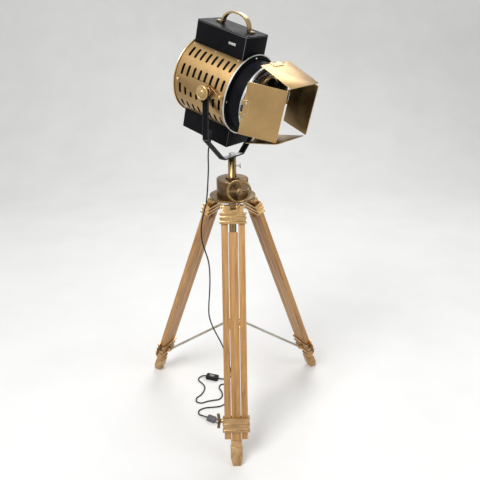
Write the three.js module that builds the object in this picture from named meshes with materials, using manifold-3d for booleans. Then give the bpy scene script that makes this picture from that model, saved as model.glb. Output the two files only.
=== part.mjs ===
// A floor-standing searchlight on a three-legged wooden stand with a rack-raised column.
// Lengths are millimetres, angles are degrees until they are used, and +Z is up.
// The front leg points to -Y. Each leg is drawn in a frame of its own: +X is the leg's outer
// face, +Y its width and -Z runs down the leg from the hinge pin. The lamp head is drawn with
// +X forwards, +Y to the lamp's left and the tilt axis through its origin.
import * as THREE from "three";
import { mergeVertices } from "three/addons/utils/BufferGeometryUtils.js";
import Module from "manifold-3d";

const wasm = await Module();
wasm.setup();

// Clearances shared by every fit
const seatGap = 0.3;
const runningGap = 0.35;
const overrun = 4;
const weldTolerance = 1e-4;

// Stand
const hingeRadius = 75;
const hingeHeight = 865;
const footRadius = 402;
const legAngles = [-90, 30, 150];
const legNames = ["front", "right", "left"];
const screwSides = [-1, -1, 1];

// Crown casting and the gear housing on it
const crownRadius = 84;
const crownThickness = 8;
const crownDrop = 14;
const crownEdge = 2;
const crownBore = 21.5;
const knuckleWidth = 22;
const knuckleRadius = 9;
const housingRadius = 57.5;
const housingAboveShaft = 21;
const housingWall = 7.5;
const housingRoof = 6;
const housingEdge = 2.5;
const bossRadius = 11;
const bossReach = 9;

// Column with its rack
const columnRadius = 14.75;
const columnAboveHousing = 77;
const columnBelowHousing = 310;
const toothModule = 2;
const pinionTeeth = 12;
const pressureAngle = 25;
const addendumShare = 0.8;
const dedendumShare = 1.1;
const backlash = 0.5;
const rackDepth = 4.25;
const rackBelowPinion = 212;
const rackAbovePinion = 28;
const socketRadius = 8.3;
const socketDepth = 45;
const bushRadius = 21;
const bushLength = 14;
const bushFlange = 25;
const bushFlangeThickness = 2.5;

// Pinion shaft, handwheel and its grip
const shaftRise = 42;
const shaftRadius = 5;
const shaftTail = 46;
const pinionWidth = 15;
const wheelReach = 92;
const wheelRadius = 39.5;
const wheelRimRadius = 4.6;
const wheelHubRadius = 10;
const wheelHubLength = 17;
const wheelSpokeWidth = 8;
const wheelSpokeThickness = 5.5;
const wheelNutRadius = 6.5;
const wheelNutLength = 5;
const gripLength = 34;
const gripRadius = 5.2;
const gripNeck = 3;

// Legs
const railWidth = 23.5;
const railDepth = 22;
const railGap = 37;
const railEdge = 1.5;
const railTop = 40;
const railEndRise = 93;
const railBlock = 18;
const stripWidth = 33;
const stripDepth = 21.4;
const stripTop = 90;
const bracketEarWidth = 26.5;
const bracketEarDepth = 18;
const bracketEarEnd = 22;
const bracketArchEnd = 12;
const collarWallWidth = 3.2;
const collarDepth = 28;
const ribProud = 3.2;
const ribHeight = 7;
const ribEdge = 2;
const topCollarStart = 20;
const topCollarEnd = 60;
const clampTopRise = 170;
const clampLength = 51;
const hingePinRadius = 4;
const hingePinHead = 7;
const hingePinHeadLength = 3;
const screwDrop = 13;
const screwRadius = 4;
const screwBossRadius = 8;
const screwBossLength = 3.5;
const wingSpan = 52;
const wingThickness = 6.5;
const wingLength = 14;
const wingHubRadius = 7;
const footStartRise = 86;
const ferruleEndRise = 64;
const ferruleWidth = 38.5;
const ferruleDepth = 27;
const footWidth = 44;
const footDepth = 32;
const footShoulderRise = 27;
const footTipWidth = 15;
const footTipDepth = 19;
const footOverrun = 25;
const footPocket = 12;

// Spreader
const spreaderOffset = 24;
const spreaderDrop = 35;
const spreaderEyeRadius = 8;
const spreaderEyeWidth = 8;
const spreaderEarWidth = 5;
const spreaderPinRadius = 3;
const spreaderRodRadius = 4.75;
const spreaderEndRadius = 30;
const spreaderHubHeight = 346;
const spreaderTangRadius = 7;
const spreaderTangLength = 26;
const spreaderTangWidth = 6;
const hubRadius = 38;
const hubThickness = 5;
const hubForkInner = 11;
const hubForkOuter = 37;
const hubForkHeight = 15;
const hubForkWidth = 3.5;
const hubForkClearance = 1;

// Yoke, its bolt, and the screw that holds the swivel
const swingClearance = 14.7;
const headYaw = -39.4;
const headPitch = 14.3;
const yokeThickness = 5;
const yokeBarWidth = 25;
const yokeFlatHalf = 52;
const yokeArmFace = 138;
const yokeArmDrop = 157;
const pivotForward = 10;
const swivelRadius = 8;
const swivelHeadRadius = 12;
const swivelHeadHeight = 9;
const tiltBoltRadius = 5;
const panScrewDrop = 32;
const panScrewRadius = 3;
const panScrewReach = 31;
const panBarHeight = 18;
const panBarWidth = 6;
const panBarThickness = 4;

// Tilt knobs and side plates
const knobRadius = 24;
const knobThickness = 9;
const knobDome = 5;
const knobNeckRadius = 12;
const knobNeckLength = 10;
const knobBoreDepth = 15;
const plateThickness = 3;
const plateStandoff = 2.2;
const plateHalfWidth = 24;
const plateEndHalf = 7;
const plateRear = -140;
const plateRearFoot = -119;
const plateRearShoulder = -72;
const plateFrontShoulder = 3;
const plateFrontFoot = 45;
const plateFront = 67;
const plateBossRadius = 15;

// Drum of pierced sheet
const drumRadius = 130;
const drumWall = 2;
const drumRear = -139;
const drumFront = 81;
const slotRows = 4;
const slotFirstAngle = 44.5;
const slotRowPitch = 28.5;
const slotSpan = 16.5;
const slotsPerRow = 8;
const slotFirst = -114;
const slotPitch = 25;
const slotWidth = 9.8;

// Rear cover
const rearRimRadius = 134.5;
const rearRimLength = 5;
const rearPlateThickness = 2.5;
const rearStepRadius = 104;
const rearStepHeight = 5;
const rearCapRadius = 40;
const rearCapHeight = 12;

// Vent box above and lamp box below, in one width
const boxHalfWidth = 58.6;
const boxRear = -138.5;
const boxFront = 70.7;
const boxWall = 2.5;
const boxCorner = 4;
const boxInnerEnd = 108;
const ventBoxTop = 189;
const lidThickness = 3;
const lidLip = 6;
const lampBoxBottom = -184;
const louvreCount = 3;
const louvreFirst = -24;
const louvrePitch = 9;
const louvreWidth = 3;
const louvreLow = -172;
const louvreHigh = -150;

// Handle
const handleRear = -80;
const handleFront = 34;
const handleRise = 49;
const handleThickness = 6;
const handleWidth = 18;
const handleFootLength = 20;
const handleCrown = 50;
const handleCrownShare = 0.86;

// Front ring, barrel and lens
const ringOverhang = 5;
const ringLip = 3;
const ringLength = 5;
const ringBeadDepth = 1.5;
const ringSpigotPlay = 1.8;
const ringStepWidth = 10;
const ringShoulder = 8;
const barrelRadius = 117;
const barrelWall = 4;
const barrelEnd = 150;
const barrelFlangeWidth = 6;
const barrelFlangeLength = 4;
const lensSeat = 118;
const lensSeatLength = 3;
const lensSeatWidth = 9;
const lensEdge = 6;
const lensBulge = 16;
const lensClipCount = 3;
const lensClipWidth = 14;
const lensClipHeight = 7;
const lensClipLift = 2.4;

// Inside the drum
const reflectorRadius = 92;
const reflectorDepth = 42;
const reflectorWall = 2.5;
const reflectorBack = -112;
const reflectorStud = 9;
const reflectorBoreRadius = 16;
const bulbPosition = -22;
const bulbRadius = 30;
const bulbNeck = 13;
const socketOuter = 21;
const socketTop = -38;
const socketLength = 46;
const socketStem = 9;

// Barn doors
const doorHingeRise = 11;
const doorHingeForward = 151.5;
const doorThickness = 2;
const doorLift = 1.2;
const doorStart = 4.6;
const doorCorner = 3;
const doorKnuckle = 3.5;
const doorPin = 1.6;
const doorFixedHalf = 12;
const doorMovingHalf = 26;
const doorStrapLength = 22;
const doorStrapThickness = 1.6;
const doorNames = ["top", "right", "bottom", "left"];
const doorMargins = [99, 85, 99, 85];
const doorLengths = [134, 131, 134, 131];
const doorInward = [14, 28, 20, 17];

// Mains lead
const glandForward = -30;
const glandLeft = -25;
const glandCollar = 9.5;
const glandCollarLength = 4;
const glandStart = 6;
const glandEnd = 3.6;
const reliefLength = 38;
const cordRadius = 2.6;
const cordSides = 6;
const hangingSteps = 38;
const floorSteps = 42;
const switchCentre = [-102.3, 106.4];
const switchTurn = -20;
const switchLength = 54;
const switchWidth = 26;
const switchHeight = 17;
const switchEdge = 4;
const rockerLength = 20;
const rockerWidth = 11;
const rockerRise = 3;
const rockerDepth = 6;
const plugPlace = [-98, -167];
const plugTurn = -30;
const plugLength = 36;
const plugWidth = 24;
const plugHeight = 15;
const plugPinRadius = 2.2;
const plugPinLength = 18;
const plugPinSpacing = 19;

// The free lead, from the strain relief to the switch, and on to the plug
const hangingRoute = [
  [-84.4, 37.0, 1045.0],
  [-86, 33, 1018],
  [-86, 22, 985],
  [-88, 2, 945],
  [-91, -22, 903],
  [-96, -34, 867],
  [-105, -36, 832],
  [-113, -31, 797],
  [-118, -26, 755],
  [-116, -22, 712],
  [-106, -18, 668],
  [-97, -14, 631],
  [-93, -10, 592],
  [-93, -6, 543],
  [-96, 0, 487],
  [-101, 8, 429],
  [-102, 16, 372],
  [-92, 24, 322],
  [-76, 32, 276],
  [-58, 40, 228],
  [-40, 51, 168],
  [-26, 66, 100],
  [-19, 84, 42],
  [-22, 101, 11],
  [-35, 108, 2.8],
  [-51, 98, 4.2],
  [-66, 93.4, 8.5],
];
const floorRoute = [
  [-138.5, 119.6, 7.8],
  [-152, 119, 4.2],
  [-162, 107, 2.8],
  [-160, 90, 2.8],
  [-148, 74, 2.8],
  [-136, 54, 2.8],
  [-133, 32, 2.8],
  [-138, 10, 2.8],
  [-148, -10, 2.8],
  [-164, -30, 2.8],
  [-162, -54, 2.8],
  [-142, -62, 2.8],
  [-118, -52, 2.8],
  [-94, -46, 2.8],
  [-70, -40, 2.8],
  [-57, -18, 2.8],
  [-61, 12, 2.8],
  [-71, 38, 2.8],
  [-63, 60, 2.8],
  [-42, 60, 2.8],
  [-31, 38, 2.8],
  [-31, 6, 2.8],
  [-34, -28, 2.8],
  [-40, -62, 2.8],
  [-62, -84, 2.8],
  [-94, -90, 2.8],
  [-126, -94, 2.8],
  [-150, -110, 2.8],
  [-149, -132, 3.4],
  [-126, -150.8, 7.5],
];

const radians = THREE.MathUtils.degToRad;
const lean = Math.atan2(footRadius - hingeRadius, hingeHeight);
const collarWidth = railGap + (railWidth + seatGap + collarWallWidth) * 2;
const legReach = Math.hypot(footRadius - hingeRadius, hingeHeight);
const railEnd = legReach - railEndRise;
const clampStart = legReach - clampTopRise;
const clampEnd = clampStart + clampLength;
const screwPosition = clampStart + screwDrop;
const spreaderPosition = clampStart + spreaderDrop;
const footStart = legReach - footStartRise;
const stripEnd = footStart + footPocket;
const ferruleEnd = legReach - ferruleEndRise;
const footShoulder = legReach - footShoulderRise;
const footEnd = legReach + footOverrun;
const crownUnderside = hingeHeight + crownDrop;
const crownTop = crownUnderside + crownThickness;
const shaftHeight = crownTop + shaftRise;
const housingHeight = shaftRise + housingAboveShaft;
const housingTop = crownTop + housingHeight;
const columnTop = housingTop + columnAboveHousing;
const columnBottom = housingTop - columnBelowHousing;
const pitchRadius = (toothModule * pinionTeeth) / 2;
const addendum = toothModule * addendumShare;
const dedendum = toothModule * dedendumShare;
const rackPitchLine = columnRadius - rackDepth;
const shaftOffset = rackPitchLine + pitchRadius;
const toothPitch = Math.PI * toothModule;
const toothThickness = (toothPitch - backlash) / 2;
const lensFront = lensSeat + lensSeatLength + seatGap;
const barrelBore = barrelRadius - barrelWall;
const barrelFlangeRadius = barrelRadius + barrelFlangeWidth;
const lensSeatBore = barrelBore - lensSeatWidth;
const ringBore = barrelBore - ringLip;
const ringStepRadius = barrelRadius + ringStepWidth;
const ringRadius = Math.max(drumRadius + ringOverhang, ringStepRadius + ringShoulder);
const doorHinge = barrelRadius + doorHingeRise;
const doorWidths = doorMargins.map((margin) => doorHinge * 2 - margin);
const boxSwing = Math.hypot(lampBoxBottom, boxRear);
const pivotHeight = columnTop + boxSwing + swingClearance;
const yokeBendHeight = pivotHeight - yokeArmDrop;
const panScrewHeight = columnTop - panScrewDrop;
const halfTurn = 180;

function finish(colour, roughness, metalness) {
  return new THREE.MeshStandardMaterial({ color: colour, roughness, metalness });
}

const brass = finish(0xb08a4a, 0.35, 0.9);
const agedBrass = finish(0x7a5a38, 0.45, 0.85);
const copper = finish(0xb9764a, 0.3, 0.9);
const black = finish(0x16161a, 0.4, 0.3);
const grey = finish(0x9a9c9a, 0.4, 0.6);
const steel = finish(0x8d8f92, 0.35, 0.9);
const wood = finish(0x9a6a3a, 0.55, 0.0);
const glass = finish(0xdfe8ea, 0.05, 0.0);
const porcelain = finish(0xe8e4da, 0.4, 0.0);
const rubber = finish(0x141414, 0.6, 0.0);

// Geometry helpers

function signedVolume(points, index) {
  let volume = 0;
  const a = new THREE.Vector3();
  const b = new THREE.Vector3();
  const c = new THREE.Vector3();
  for (let i = 0; i < index.length; i += 3) {
    a.fromBufferAttribute(points, index[i]);
    b.fromBufferAttribute(points, index[i + 1]);
    c.fromBufferAttribute(points, index[i + 2]);
    volume += a.dot(b.cross(c)) / 6;
  }
  return volume;
}

// One closed body with shared corners, no collapsed triangles and its faces pointing out
function weld(geometry) {
  const plain = geometry.clone();
  plain.deleteAttribute("normal");
  plain.deleteAttribute("uv");
  const merged = mergeVertices(plain, weldTolerance);
  const source = merged.index.array;
  const index = [];
  for (let i = 0; i < source.length; i += 3) {
    const [a, b, c] = [source[i], source[i + 1], source[i + 2]];
    if (a !== b && b !== c && c !== a) index.push(a, b, c);
  }
  if (signedVolume(merged.attributes.position, index) < 0) index.reverse();
  merged.setIndex(index);
  return merged;
}

function toSolid(geometry) {
  const welded = weld(geometry);
  const vertProperties = new Float32Array(welded.attributes.position.array);
  const triVerts = new Uint32Array(welded.index.array);
  return new wasm.Manifold(new wasm.Mesh({ numProp: 3, vertProperties, triVerts }));
}

function toGeometry(solid) {
  const mesh = solid.getMesh();
  const geometry = new THREE.BufferGeometry();
  geometry.setAttribute("position", new THREE.BufferAttribute(mesh.vertProperties, 3));
  geometry.setIndex(new THREE.BufferAttribute(mesh.triVerts, 1));
  return geometry;
}

function join(first, ...others) {
  let solid = toSolid(first);
  for (const other of others) solid = solid.add(toSolid(other));
  return toGeometry(solid);
}

function cut(first, ...tools) {
  let solid = toSolid(first);
  for (const tool of tools) solid = solid.subtract(toSolid(tool));
  return toGeometry(solid);
}

function common(first, second) {
  return toGeometry(toSolid(first).intersect(toSolid(second)));
}

function block(x0, x1, y0, y1, z0, z1) {
  const box = new THREE.BoxGeometry(x1 - x0, y1 - y0, z1 - z0);
  return box.translate((x0 + x1) / 2, (y0 + y1) / 2, (z0 + z1) / 2);
}

function rodZ(radius, z0, z1, sides = 12, topRadius = radius) {
  const rod = new THREE.CylinderGeometry(topRadius, radius, z1 - z0, sides);
  return rod.rotateX(Math.PI / 2).translate(0, 0, (z0 + z1) / 2);
}

function rodY(radius, y0, y1, sides = 12, endRadius = radius) {
  return new THREE.CylinderGeometry(endRadius, radius, y1 - y0, sides).translate(0, (y0 + y1) / 2, 0);
}

function rodX(radius, x0, x1, sides = 12, endRadius = radius) {
  const rod = new THREE.CylinderGeometry(endRadius, radius, x1 - x0, sides);
  return rod.rotateZ(-Math.PI / 2).translate((x0 + x1) / 2, 0, 0);
}

// A turned piece: [radius, height] points of a closed outline, spun round Z
function turnedZ(outline, sides = 24) {
  const points = outline.map(([radius, height]) => new THREE.Vector2(radius, height));
  const closed = outline.some(([radius]) => radius === 0) ? points : [...points, points[0]];
  return new THREE.LatheGeometry(closed, sides).rotateX(Math.PI / 2);
}

function turnedX(outline, sides = 36) {
  return turnedZ(outline, sides).rotateY(Math.PI / 2);
}

function roundedRect(width, height, radius) {
  const shape = new THREE.Shape();
  const x = width / 2 - radius;
  const y = height / 2 - radius;
  shape.absarc(x, y, radius, 0, Math.PI / 2);
  shape.absarc(-x, y, radius, Math.PI / 2, Math.PI);
  shape.absarc(-x, -y, radius, Math.PI, Math.PI * 1.5);
  shape.absarc(x, -y, radius, Math.PI * 1.5, Math.PI * 2);
  shape.closePath();
  return shape;
}

function prismZ(shape, z0, z1, curveSegments = 1) {
  const options = { depth: z1 - z0, bevelEnabled: false, curveSegments };
  return new THREE.ExtrudeGeometry(shape, options).translate(0, 0, z0);
}

function polygon(points) {
  return new THREE.Shape(points.map(([x, y]) => new THREE.Vector2(x, y)));
}

// A tapering bar between two rectangles: half widths along X and Y at each height
function taperedZ(lowX, lowY, z0, highX, highY, z1) {
  const box = new THREE.BoxGeometry(1, 1, 1);
  const points = box.attributes.position;
  for (let i = 0; i < points.count; i += 1) {
    const high = points.getZ(i) > 0;
    const x = Math.sign(points.getX(i)) * (high ? highX : lowX);
    const y = Math.sign(points.getY(i)) * (high ? highY : lowY);
    points.setXYZ(i, x, y, high ? z1 : z0);
  }
  return box;
}

// The outline of a strip of even thickness along a bent centre line, with mitred corners
function stripOutline(line, thickness) {
  const at = line.map(([x, y]) => new THREE.Vector2(x, y));
  const normals = at.slice(1).map((p, i) => {
    const along = p.clone().sub(at[i]).normalize();
    return new THREE.Vector2(-along.y, along.x);
  });
  const offset = (i, side) => {
    const before = normals[Math.max(i - 1, 0)];
    const after = normals[Math.min(i, normals.length - 1)];
    const mitre = before.clone().add(after).normalize();
    const reach = (side * thickness) / 2 / mitre.dot(after);
    return at[i].clone().addScaledVector(mitre, reach);
  };
  const left = at.map((_, i) => offset(i, 1));
  const right = at.map((_, i) => offset(i, -1)).reverse();
  return new THREE.Shape([...left, ...right]);
}

function arcPoints(cx, cy, rx, ry, from, to, count) {
  const points = [];
  for (let i = 0; i <= count; i += 1) {
    const angle = from + ((to - from) * i) / count;
    points.push([cx + rx * Math.cos(angle), cy + ry * Math.sin(angle)]);
  }
  return points;
}

function part(name, geometry, material) {
  const mesh = new THREE.Mesh(weld(geometry), material);
  mesh.name = name;
  return mesh;
}

function at(object, x, y, z) {
  object.position.set(x, y, z);
  return object;
}

function frame(parent, x = 0, y = 0, z = 0) {
  const group = new THREE.Group();
  group.position.set(x, y, z);
  parent.add(group);
  return group;
}

// Crown: the disc, and three knuckles that carry the leg hinges
function tripodCrown() {
  const edge = crownRadius - crownEdge;
  const disc = turnedZ([
    [crownBore, crownUnderside],
    [edge, crownUnderside],
    [crownRadius, crownUnderside + crownEdge],
    [crownRadius, crownTop],
    [crownBore, crownTop],
  ], 30);
  let solid = toSolid(disc);
  for (const angle of legAngles) {
    const half = knuckleWidth / 2;
    const web = block(-knuckleRadius, knuckleRadius, -half, half, 0, crownDrop + crownThickness / 2);
    const eye = rodY(knuckleRadius, -half, half, 14);
    const hole = rodY(hingePinRadius + runningGap, -knuckleWidth, knuckleWidth, 10);
    const knuckle = cut(join(web, eye), hole);
    knuckle.translate(hingeRadius, 0, hingeHeight).rotateZ(radians(angle));
    solid = solid.add(toSolid(knuckle));
  }
  return part("tripod_crown", toGeometry(solid), agedBrass);
}

// Gear housing: an inverted cup with a bearing boss for the pinion shaft
function gearHousing() {
  const edge = housingRadius - housingEdge;
  const inner = housingRadius - housingWall;
  const base = crownTop;
  const cup = turnedZ([
    [bushRadius + seatGap, housingTop - housingRoof],
    [inner, housingTop - housingRoof],
    [inner, base],
    [housingRadius, base],
    [housingRadius, housingTop - housingEdge],
    [edge, housingTop],
    [bushRadius + seatGap, housingTop],
  ], 36);
  const boss = rodY(bossRadius, -housingRadius - bossReach, -inner, 16);
  const bossTrim = rodZ(inner, base, housingTop - housingRoof, 36);
  const trimmed = cut(boss.translate(shaftOffset, 0, shaftHeight), bossTrim);
  const bearing = rodY(shaftRadius + runningGap, -housingRadius * 2, housingRadius * 2, 10);
  bearing.translate(shaftOffset, 0, shaftHeight);
  return part("gear_housing", cut(join(cup, trimmed), bearing), agedBrass);
}

// A flanged bush that guides the column, in the crown or in the housing roof
function columnBush(name, seat, sleeve, flange) {
  const bore = columnRadius + runningGap;
  const far = seat + sleeve;
  const lip = seat - flange;
  const bush = turnedZ([
    [bore, far],
    [bushRadius, far],
    [bushRadius, seat],
    [bushFlange, seat],
    [bushFlange, lip],
    [bore, lip],
  ], 20);
  return part(name, bush, brass);
}

// Column: a round bar with a rack cut into its right side and a socket in its top
function column() {
  const bar = rodZ(columnRadius, columnBottom, columnTop, 16).rotateZ(Math.PI / 16);
  const tipPlane = rackPitchLine + addendum;
  const rootPlane = rackPitchLine - dedendum;
  const rackLow = shaftHeight - rackBelowPinion;
  const rackHigh = shaftHeight + rackAbovePinion;
  const flat = block(tipPlane, columnRadius + overrun, -columnRadius, columnRadius, rackLow, rackHigh);
  const slope = Math.tan(radians(pressureAngle));
  const gapHalf = (toothPitch - toothThickness) / 2;
  const wide = gapHalf + (addendum + overrun) * slope;
  const narrow = gapHalf - dedendum * slope;
  let solid = toSolid(bar).subtract(toSolid(flat));
  const below = Math.floor(rackBelowPinion / toothPitch);
  const above = Math.floor(rackAbovePinion / toothPitch);
  for (let i = -below; i < above; i += 1) {
    const trapezium = polygon([
      [rootPlane, -narrow],
      [tipPlane + overrun, -wide],
      [tipPlane + overrun, wide],
      [rootPlane, narrow],
    ]);
    const tooth = prismZ(trapezium, -columnRadius, columnRadius).rotateX(Math.PI / 2);
    solid = solid.subtract(toSolid(tooth.translate(0, 0, shaftHeight + i * toothPitch)));
  }
  const socket = rodZ(socketRadius, columnTop - socketDepth, columnTop + overrun, 16);
  const screwHole = rodX(panScrewRadius + seatGap, 0, columnRadius * 2, 12);
  solid = solid.subtract(toSolid(socket)).subtract(toSolid(screwHole.translate(0, 0, panScrewHeight)));
  return part("column", toGeometry(solid), agedBrass);
}

// Pinion: involute teeth on the shaft that the handwheel turns
function pinionOutline() {
  const baseRadius = pitchRadius * Math.cos(radians(pressureAngle));
  const involute = (angle) => Math.tan(angle) - angle;
  const halfAt = (radius) => {
    const angle = Math.acos(Math.min(1, baseRadius / radius));
    return toothThickness / 2 / pitchRadius + involute(radians(pressureAngle)) - involute(angle);
  };
  const root = pitchRadius - dedendum;
  const tip = pitchRadius + addendum;
  const flankShares = [0, 0.5, 1];
  const radii = flankShares.map((share) => baseRadius + (tip - baseRadius) * share);
  const points = [];
  for (let tooth = 0; tooth < pinionTeeth; tooth += 1) {
    const middle = Math.PI + (tooth * 2 * Math.PI) / pinionTeeth;
    const polar = (radius, angle) => points.push([radius * Math.cos(angle), radius * Math.sin(angle)]);
    polar(root, middle - halfAt(baseRadius));
    radii.forEach((radius) => polar(radius, middle - halfAt(radius)));
    [...radii].reverse().forEach((radius) => polar(radius, middle + halfAt(radius)));
    polar(root, middle + halfAt(baseRadius));
  }
  return polygon(points);
}

function pinionShaft() {
  const wheel = prismZ(pinionOutline(), -pinionWidth / 2, pinionWidth / 2).rotateX(Math.PI / 2);
  const shaft = rodY(shaftRadius, -wheelReach - wheelHubLength / 2 + seatGap * 2, shaftTail, 12);
  return at(part("pinion_shaft", join(wheel, shaft), steel), shaftOffset, 0, shaftHeight);
}

function handwheel() {
  const rim = new THREE.TorusGeometry(wheelRadius, wheelRimRadius, 6, 28).rotateX(Math.PI / 2);
  const hub = rodY(wheelHubRadius, -wheelHubLength / 2, wheelHubLength / 2, 12);
  const half = wheelSpokeWidth / 2;
  const thin = wheelSpokeThickness / 2;
  const upright = block(-half, half, -thin, thin, -wheelRadius, wheelRadius);
  const level = block(-wheelRadius, wheelRadius, -thin, thin, -half, half);
  const bore = rodY(shaftRadius + seatGap, -wheelHubLength, wheelHubLength, 12);
  const nutStart = -wheelHubLength / 2 - wheelNutLength;
  const nut = rodY(wheelNutRadius, nutStart, -wheelHubLength / 2 + seatGap, 6);
  const body = cut(join(rim, hub, upright, level), bore);
  return at(part("handwheel", join(body, nut), agedBrass), shaftOffset, -wheelReach, shaftHeight);
}

// The turned grip stands out from the lowest point of the wheel's rim
function wheelGrip() {
  const start = wheelRimRadius + seatGap;
  const grip = turnedZ([
    [0, start],
    [gripNeck, start],
    [gripNeck, start + gripNeck],
    [gripRadius * 0.8, start + gripNeck * 2],
    [gripRadius, start + gripLength / 2],
    [gripRadius * 0.85, start + gripLength * 0.85],
    [gripRadius * 0.5, start + gripLength],
    [0, start + gripLength],
  ], 10).rotateX(Math.PI / 2);
  return at(part("wheel_grip", grip, agedBrass), shaftOffset, -wheelReach, shaftHeight - wheelRadius);
}

// A collar round a leg: a rounded block with three raised ribs
function ribbedCollar(start, end) {
  const x = collarDepth / 2;
  const y = collarWidth / 2;
  const body = block(-x, x, -y, y, -end, -start);
  const room = end - start - ribHeight;
  const ribs = [0, 0.5, 1].map((share) => {
    const top = -start - room * share;
    return block(-x - ribProud, x + ribProud, -y - ribProud, y + ribProud, top - ribHeight, top);
  });
  return join(body, ...ribs);
}

// Bracket: two ears with their pin through the crown's knuckle, and a collar for the rails' tops
function legBracket(name) {
  const inner = knuckleWidth / 2 + seatGap;
  const outer = inner + bracketEarWidth;
  const half = bracketEarDepth / 2;
  const ear = (low, high) => {
    const plate = block(-half, half, low, high, -bracketEarEnd, 0);
    return join(plate, rodY(half, low, high, 12));
  };
  const bridge = block(-half, half, -outer, outer, -bracketEarEnd, -bracketArchEnd);
  const body = join(ear(inner, outer), ear(-outer, -inner), bridge, ribbedCollar(topCollarStart, topCollarEnd));
  const x = railDepth / 2 + seatGap;
  const y = railGap / 2 + railWidth + seatGap;
  const pocket = block(-x, x, -y, y, -topCollarEnd - overrun, -railTop + seatGap);
  const head = outer + hingePinHeadLength;
  const pin = rodY(hingePinRadius, -outer, outer, 10);
  const heads = [rodY(hingePinHead, -head, -outer + seatGap, 6), rodY(hingePinHead, outer - seatGap, head, 6)];
  return part(name, join(cut(body, pocket), pin, ...heads), copper);
}

// Two rails, joined inside the bracket by a block between their tops
function legRails(name) {
  const section = roundedRect(railDepth, railWidth, railEdge);
  const rail = (side) => {
    const bar = prismZ(section, -railEnd, -railTop, 1);
    return bar.translate(0, (side * (railGap + railWidth)) / 2, 0);
  };
  const half = railDepth / 2 - railEdge;
  const spacer = (railGap + railWidth) / 2;
  const crossBlock = block(-half, half, -spacer, spacer, -railTop - railBlock, -railTop - railEdge);
  return part(name, join(rail(1), rail(-1), crossBlock), wood);
}

function legStrip(name) {
  const bar = prismZ(roundedRect(stripDepth, stripWidth, railEdge), -stripEnd, -stripTop, 1);
  return part(name, bar, wood);
}

// Clamp: a collar on the rails' lower ends that the middle strip slides through
function legClamp(name, side) {
  const collar = ribbedCollar(clampStart, clampEnd);
  const windowX = railDepth / 2 + seatGap;
  const windowY = railGap / 2 + railWidth + seatGap;
  const window = block(-windowX, windowX, -windowY, windowY, -clampEnd - overrun, -clampStart + overrun);
  const earInner = spreaderEyeWidth / 2 + seatGap;
  const ear = (direction) => {
    const low = direction * earInner;
    const high = direction * (earInner + spreaderEarWidth);
    const [y0, y1] = [Math.min(low, high), Math.max(low, high)];
    const arm = block(-spreaderOffset, -windowX - seatGap, y0, y1, -spreaderEyeRadius, spreaderEyeRadius);
    const eye = rodY(spreaderEyeRadius, y0, y1, 10).translate(-spreaderOffset, 0, 0);
    return join(arm, eye).translate(0, 0, -spreaderPosition);
  };
  const pinHalf = earInner + spreaderEarWidth;
  const pin = rodY(spreaderPinRadius, -pinHalf, pinHalf, 8).translate(-spreaderOffset, 0, -spreaderPosition);
  const bossStart = collarWidth / 2;
  const bossEnd = bossStart + ribProud + screwBossLength;
  const boss = rodY(screwBossRadius, windowY, bossEnd, 12).translate(0, 0, -screwPosition);
  const hole = rodY(screwRadius + runningGap, 0, bossEnd * 2, 8).translate(0, 0, -screwPosition);
  const turn = side > 0 ? 0 : Math.PI;
  const screwed = cut(join(collar, boss.rotateZ(turn)), window, hole.rotateZ(turn));
  return part(name, join(screwed, ear(1), ear(-1), pin), agedBrass);
}

// Wing screw, drawn along +Y from the rail's side and turned to the side it is on
function wingScrew(name, side) {
  const tip = railGap / 2 + railWidth + seatGap;
  const bossEnd = collarWidth / 2 + ribProud + screwBossLength + seatGap;
  const stem = rodY(screwRadius, tip, bossEnd + wingLength / 2, 8);
  const hub = rodY(wingHubRadius, bossEnd, bossEnd + wingLength, 12);
  const outline = [
    [-wingHubRadius, bossEnd + wingLength * 0.25],
    [-wingSpan / 2, bossEnd + wingLength * 0.45],
    [-wingSpan / 2, bossEnd + wingLength * 1.2],
    [0, bossEnd + wingLength * 0.95],
    [wingSpan / 2, bossEnd + wingLength * 1.2],
    [wingSpan / 2, bossEnd + wingLength * 0.45],
    [wingHubRadius, bossEnd + wingLength * 0.25],
  ];
  const wings = prismZ(polygon(outline), -wingThickness / 2, wingThickness / 2).rotateY(Math.PI / 2);
  const screw = join(stem, hub, wings).rotateZ(side > 0 ? 0 : Math.PI);
  return at(part(name, screw, agedBrass), 0, 0, -screwPosition);
}

// Foot: a ferrule on the strip's end and a shoe cut level where it meets the floor
function legFoot(name) {
  const ferrule = prismZ(roundedRect(ferruleDepth, ferruleWidth, ribEdge), -ferruleEnd, -footStart);
  const shoe = prismZ(roundedRect(footDepth, footWidth, ribEdge * 2), -footShoulder, -ferruleEnd + seatGap);
  const toe = taperedZ(footTipDepth / 2, footTipWidth / 2, -footEnd, footDepth / 2, footWidth / 2, -footShoulder);
  const x = stripDepth / 2 + seatGap;
  const y = stripWidth / 2 + seatGap;
  const pocket = block(-x, x, -y, y, -footStart - footPocket - seatGap, -footStart + overrun);
  const reach = footWidth * 2;
  const ground = block(-reach, reach, -reach, reach, -reach, 0);
  ground.translate(footRadius - hingeRadius, 0, -hingeHeight).rotateY(lean);
  return part(name, cut(join(ferrule, shoe, toe), pocket, ground), agedBrass);
}

// Spreader geometry, worked out in the leg's plane: radius from the column and height
function spreaderPivot() {
  const along = spreaderPosition;
  const radius = hingeRadius + along * Math.sin(lean) - spreaderOffset * Math.cos(lean);
  const height = hingeHeight - along * Math.cos(lean) - spreaderOffset * Math.sin(lean);
  return [radius, height];
}

function spreaderReach() {
  const [radius, height] = spreaderPivot();
  return [radius - spreaderEndRadius, spreaderHubHeight - height];
}

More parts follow.
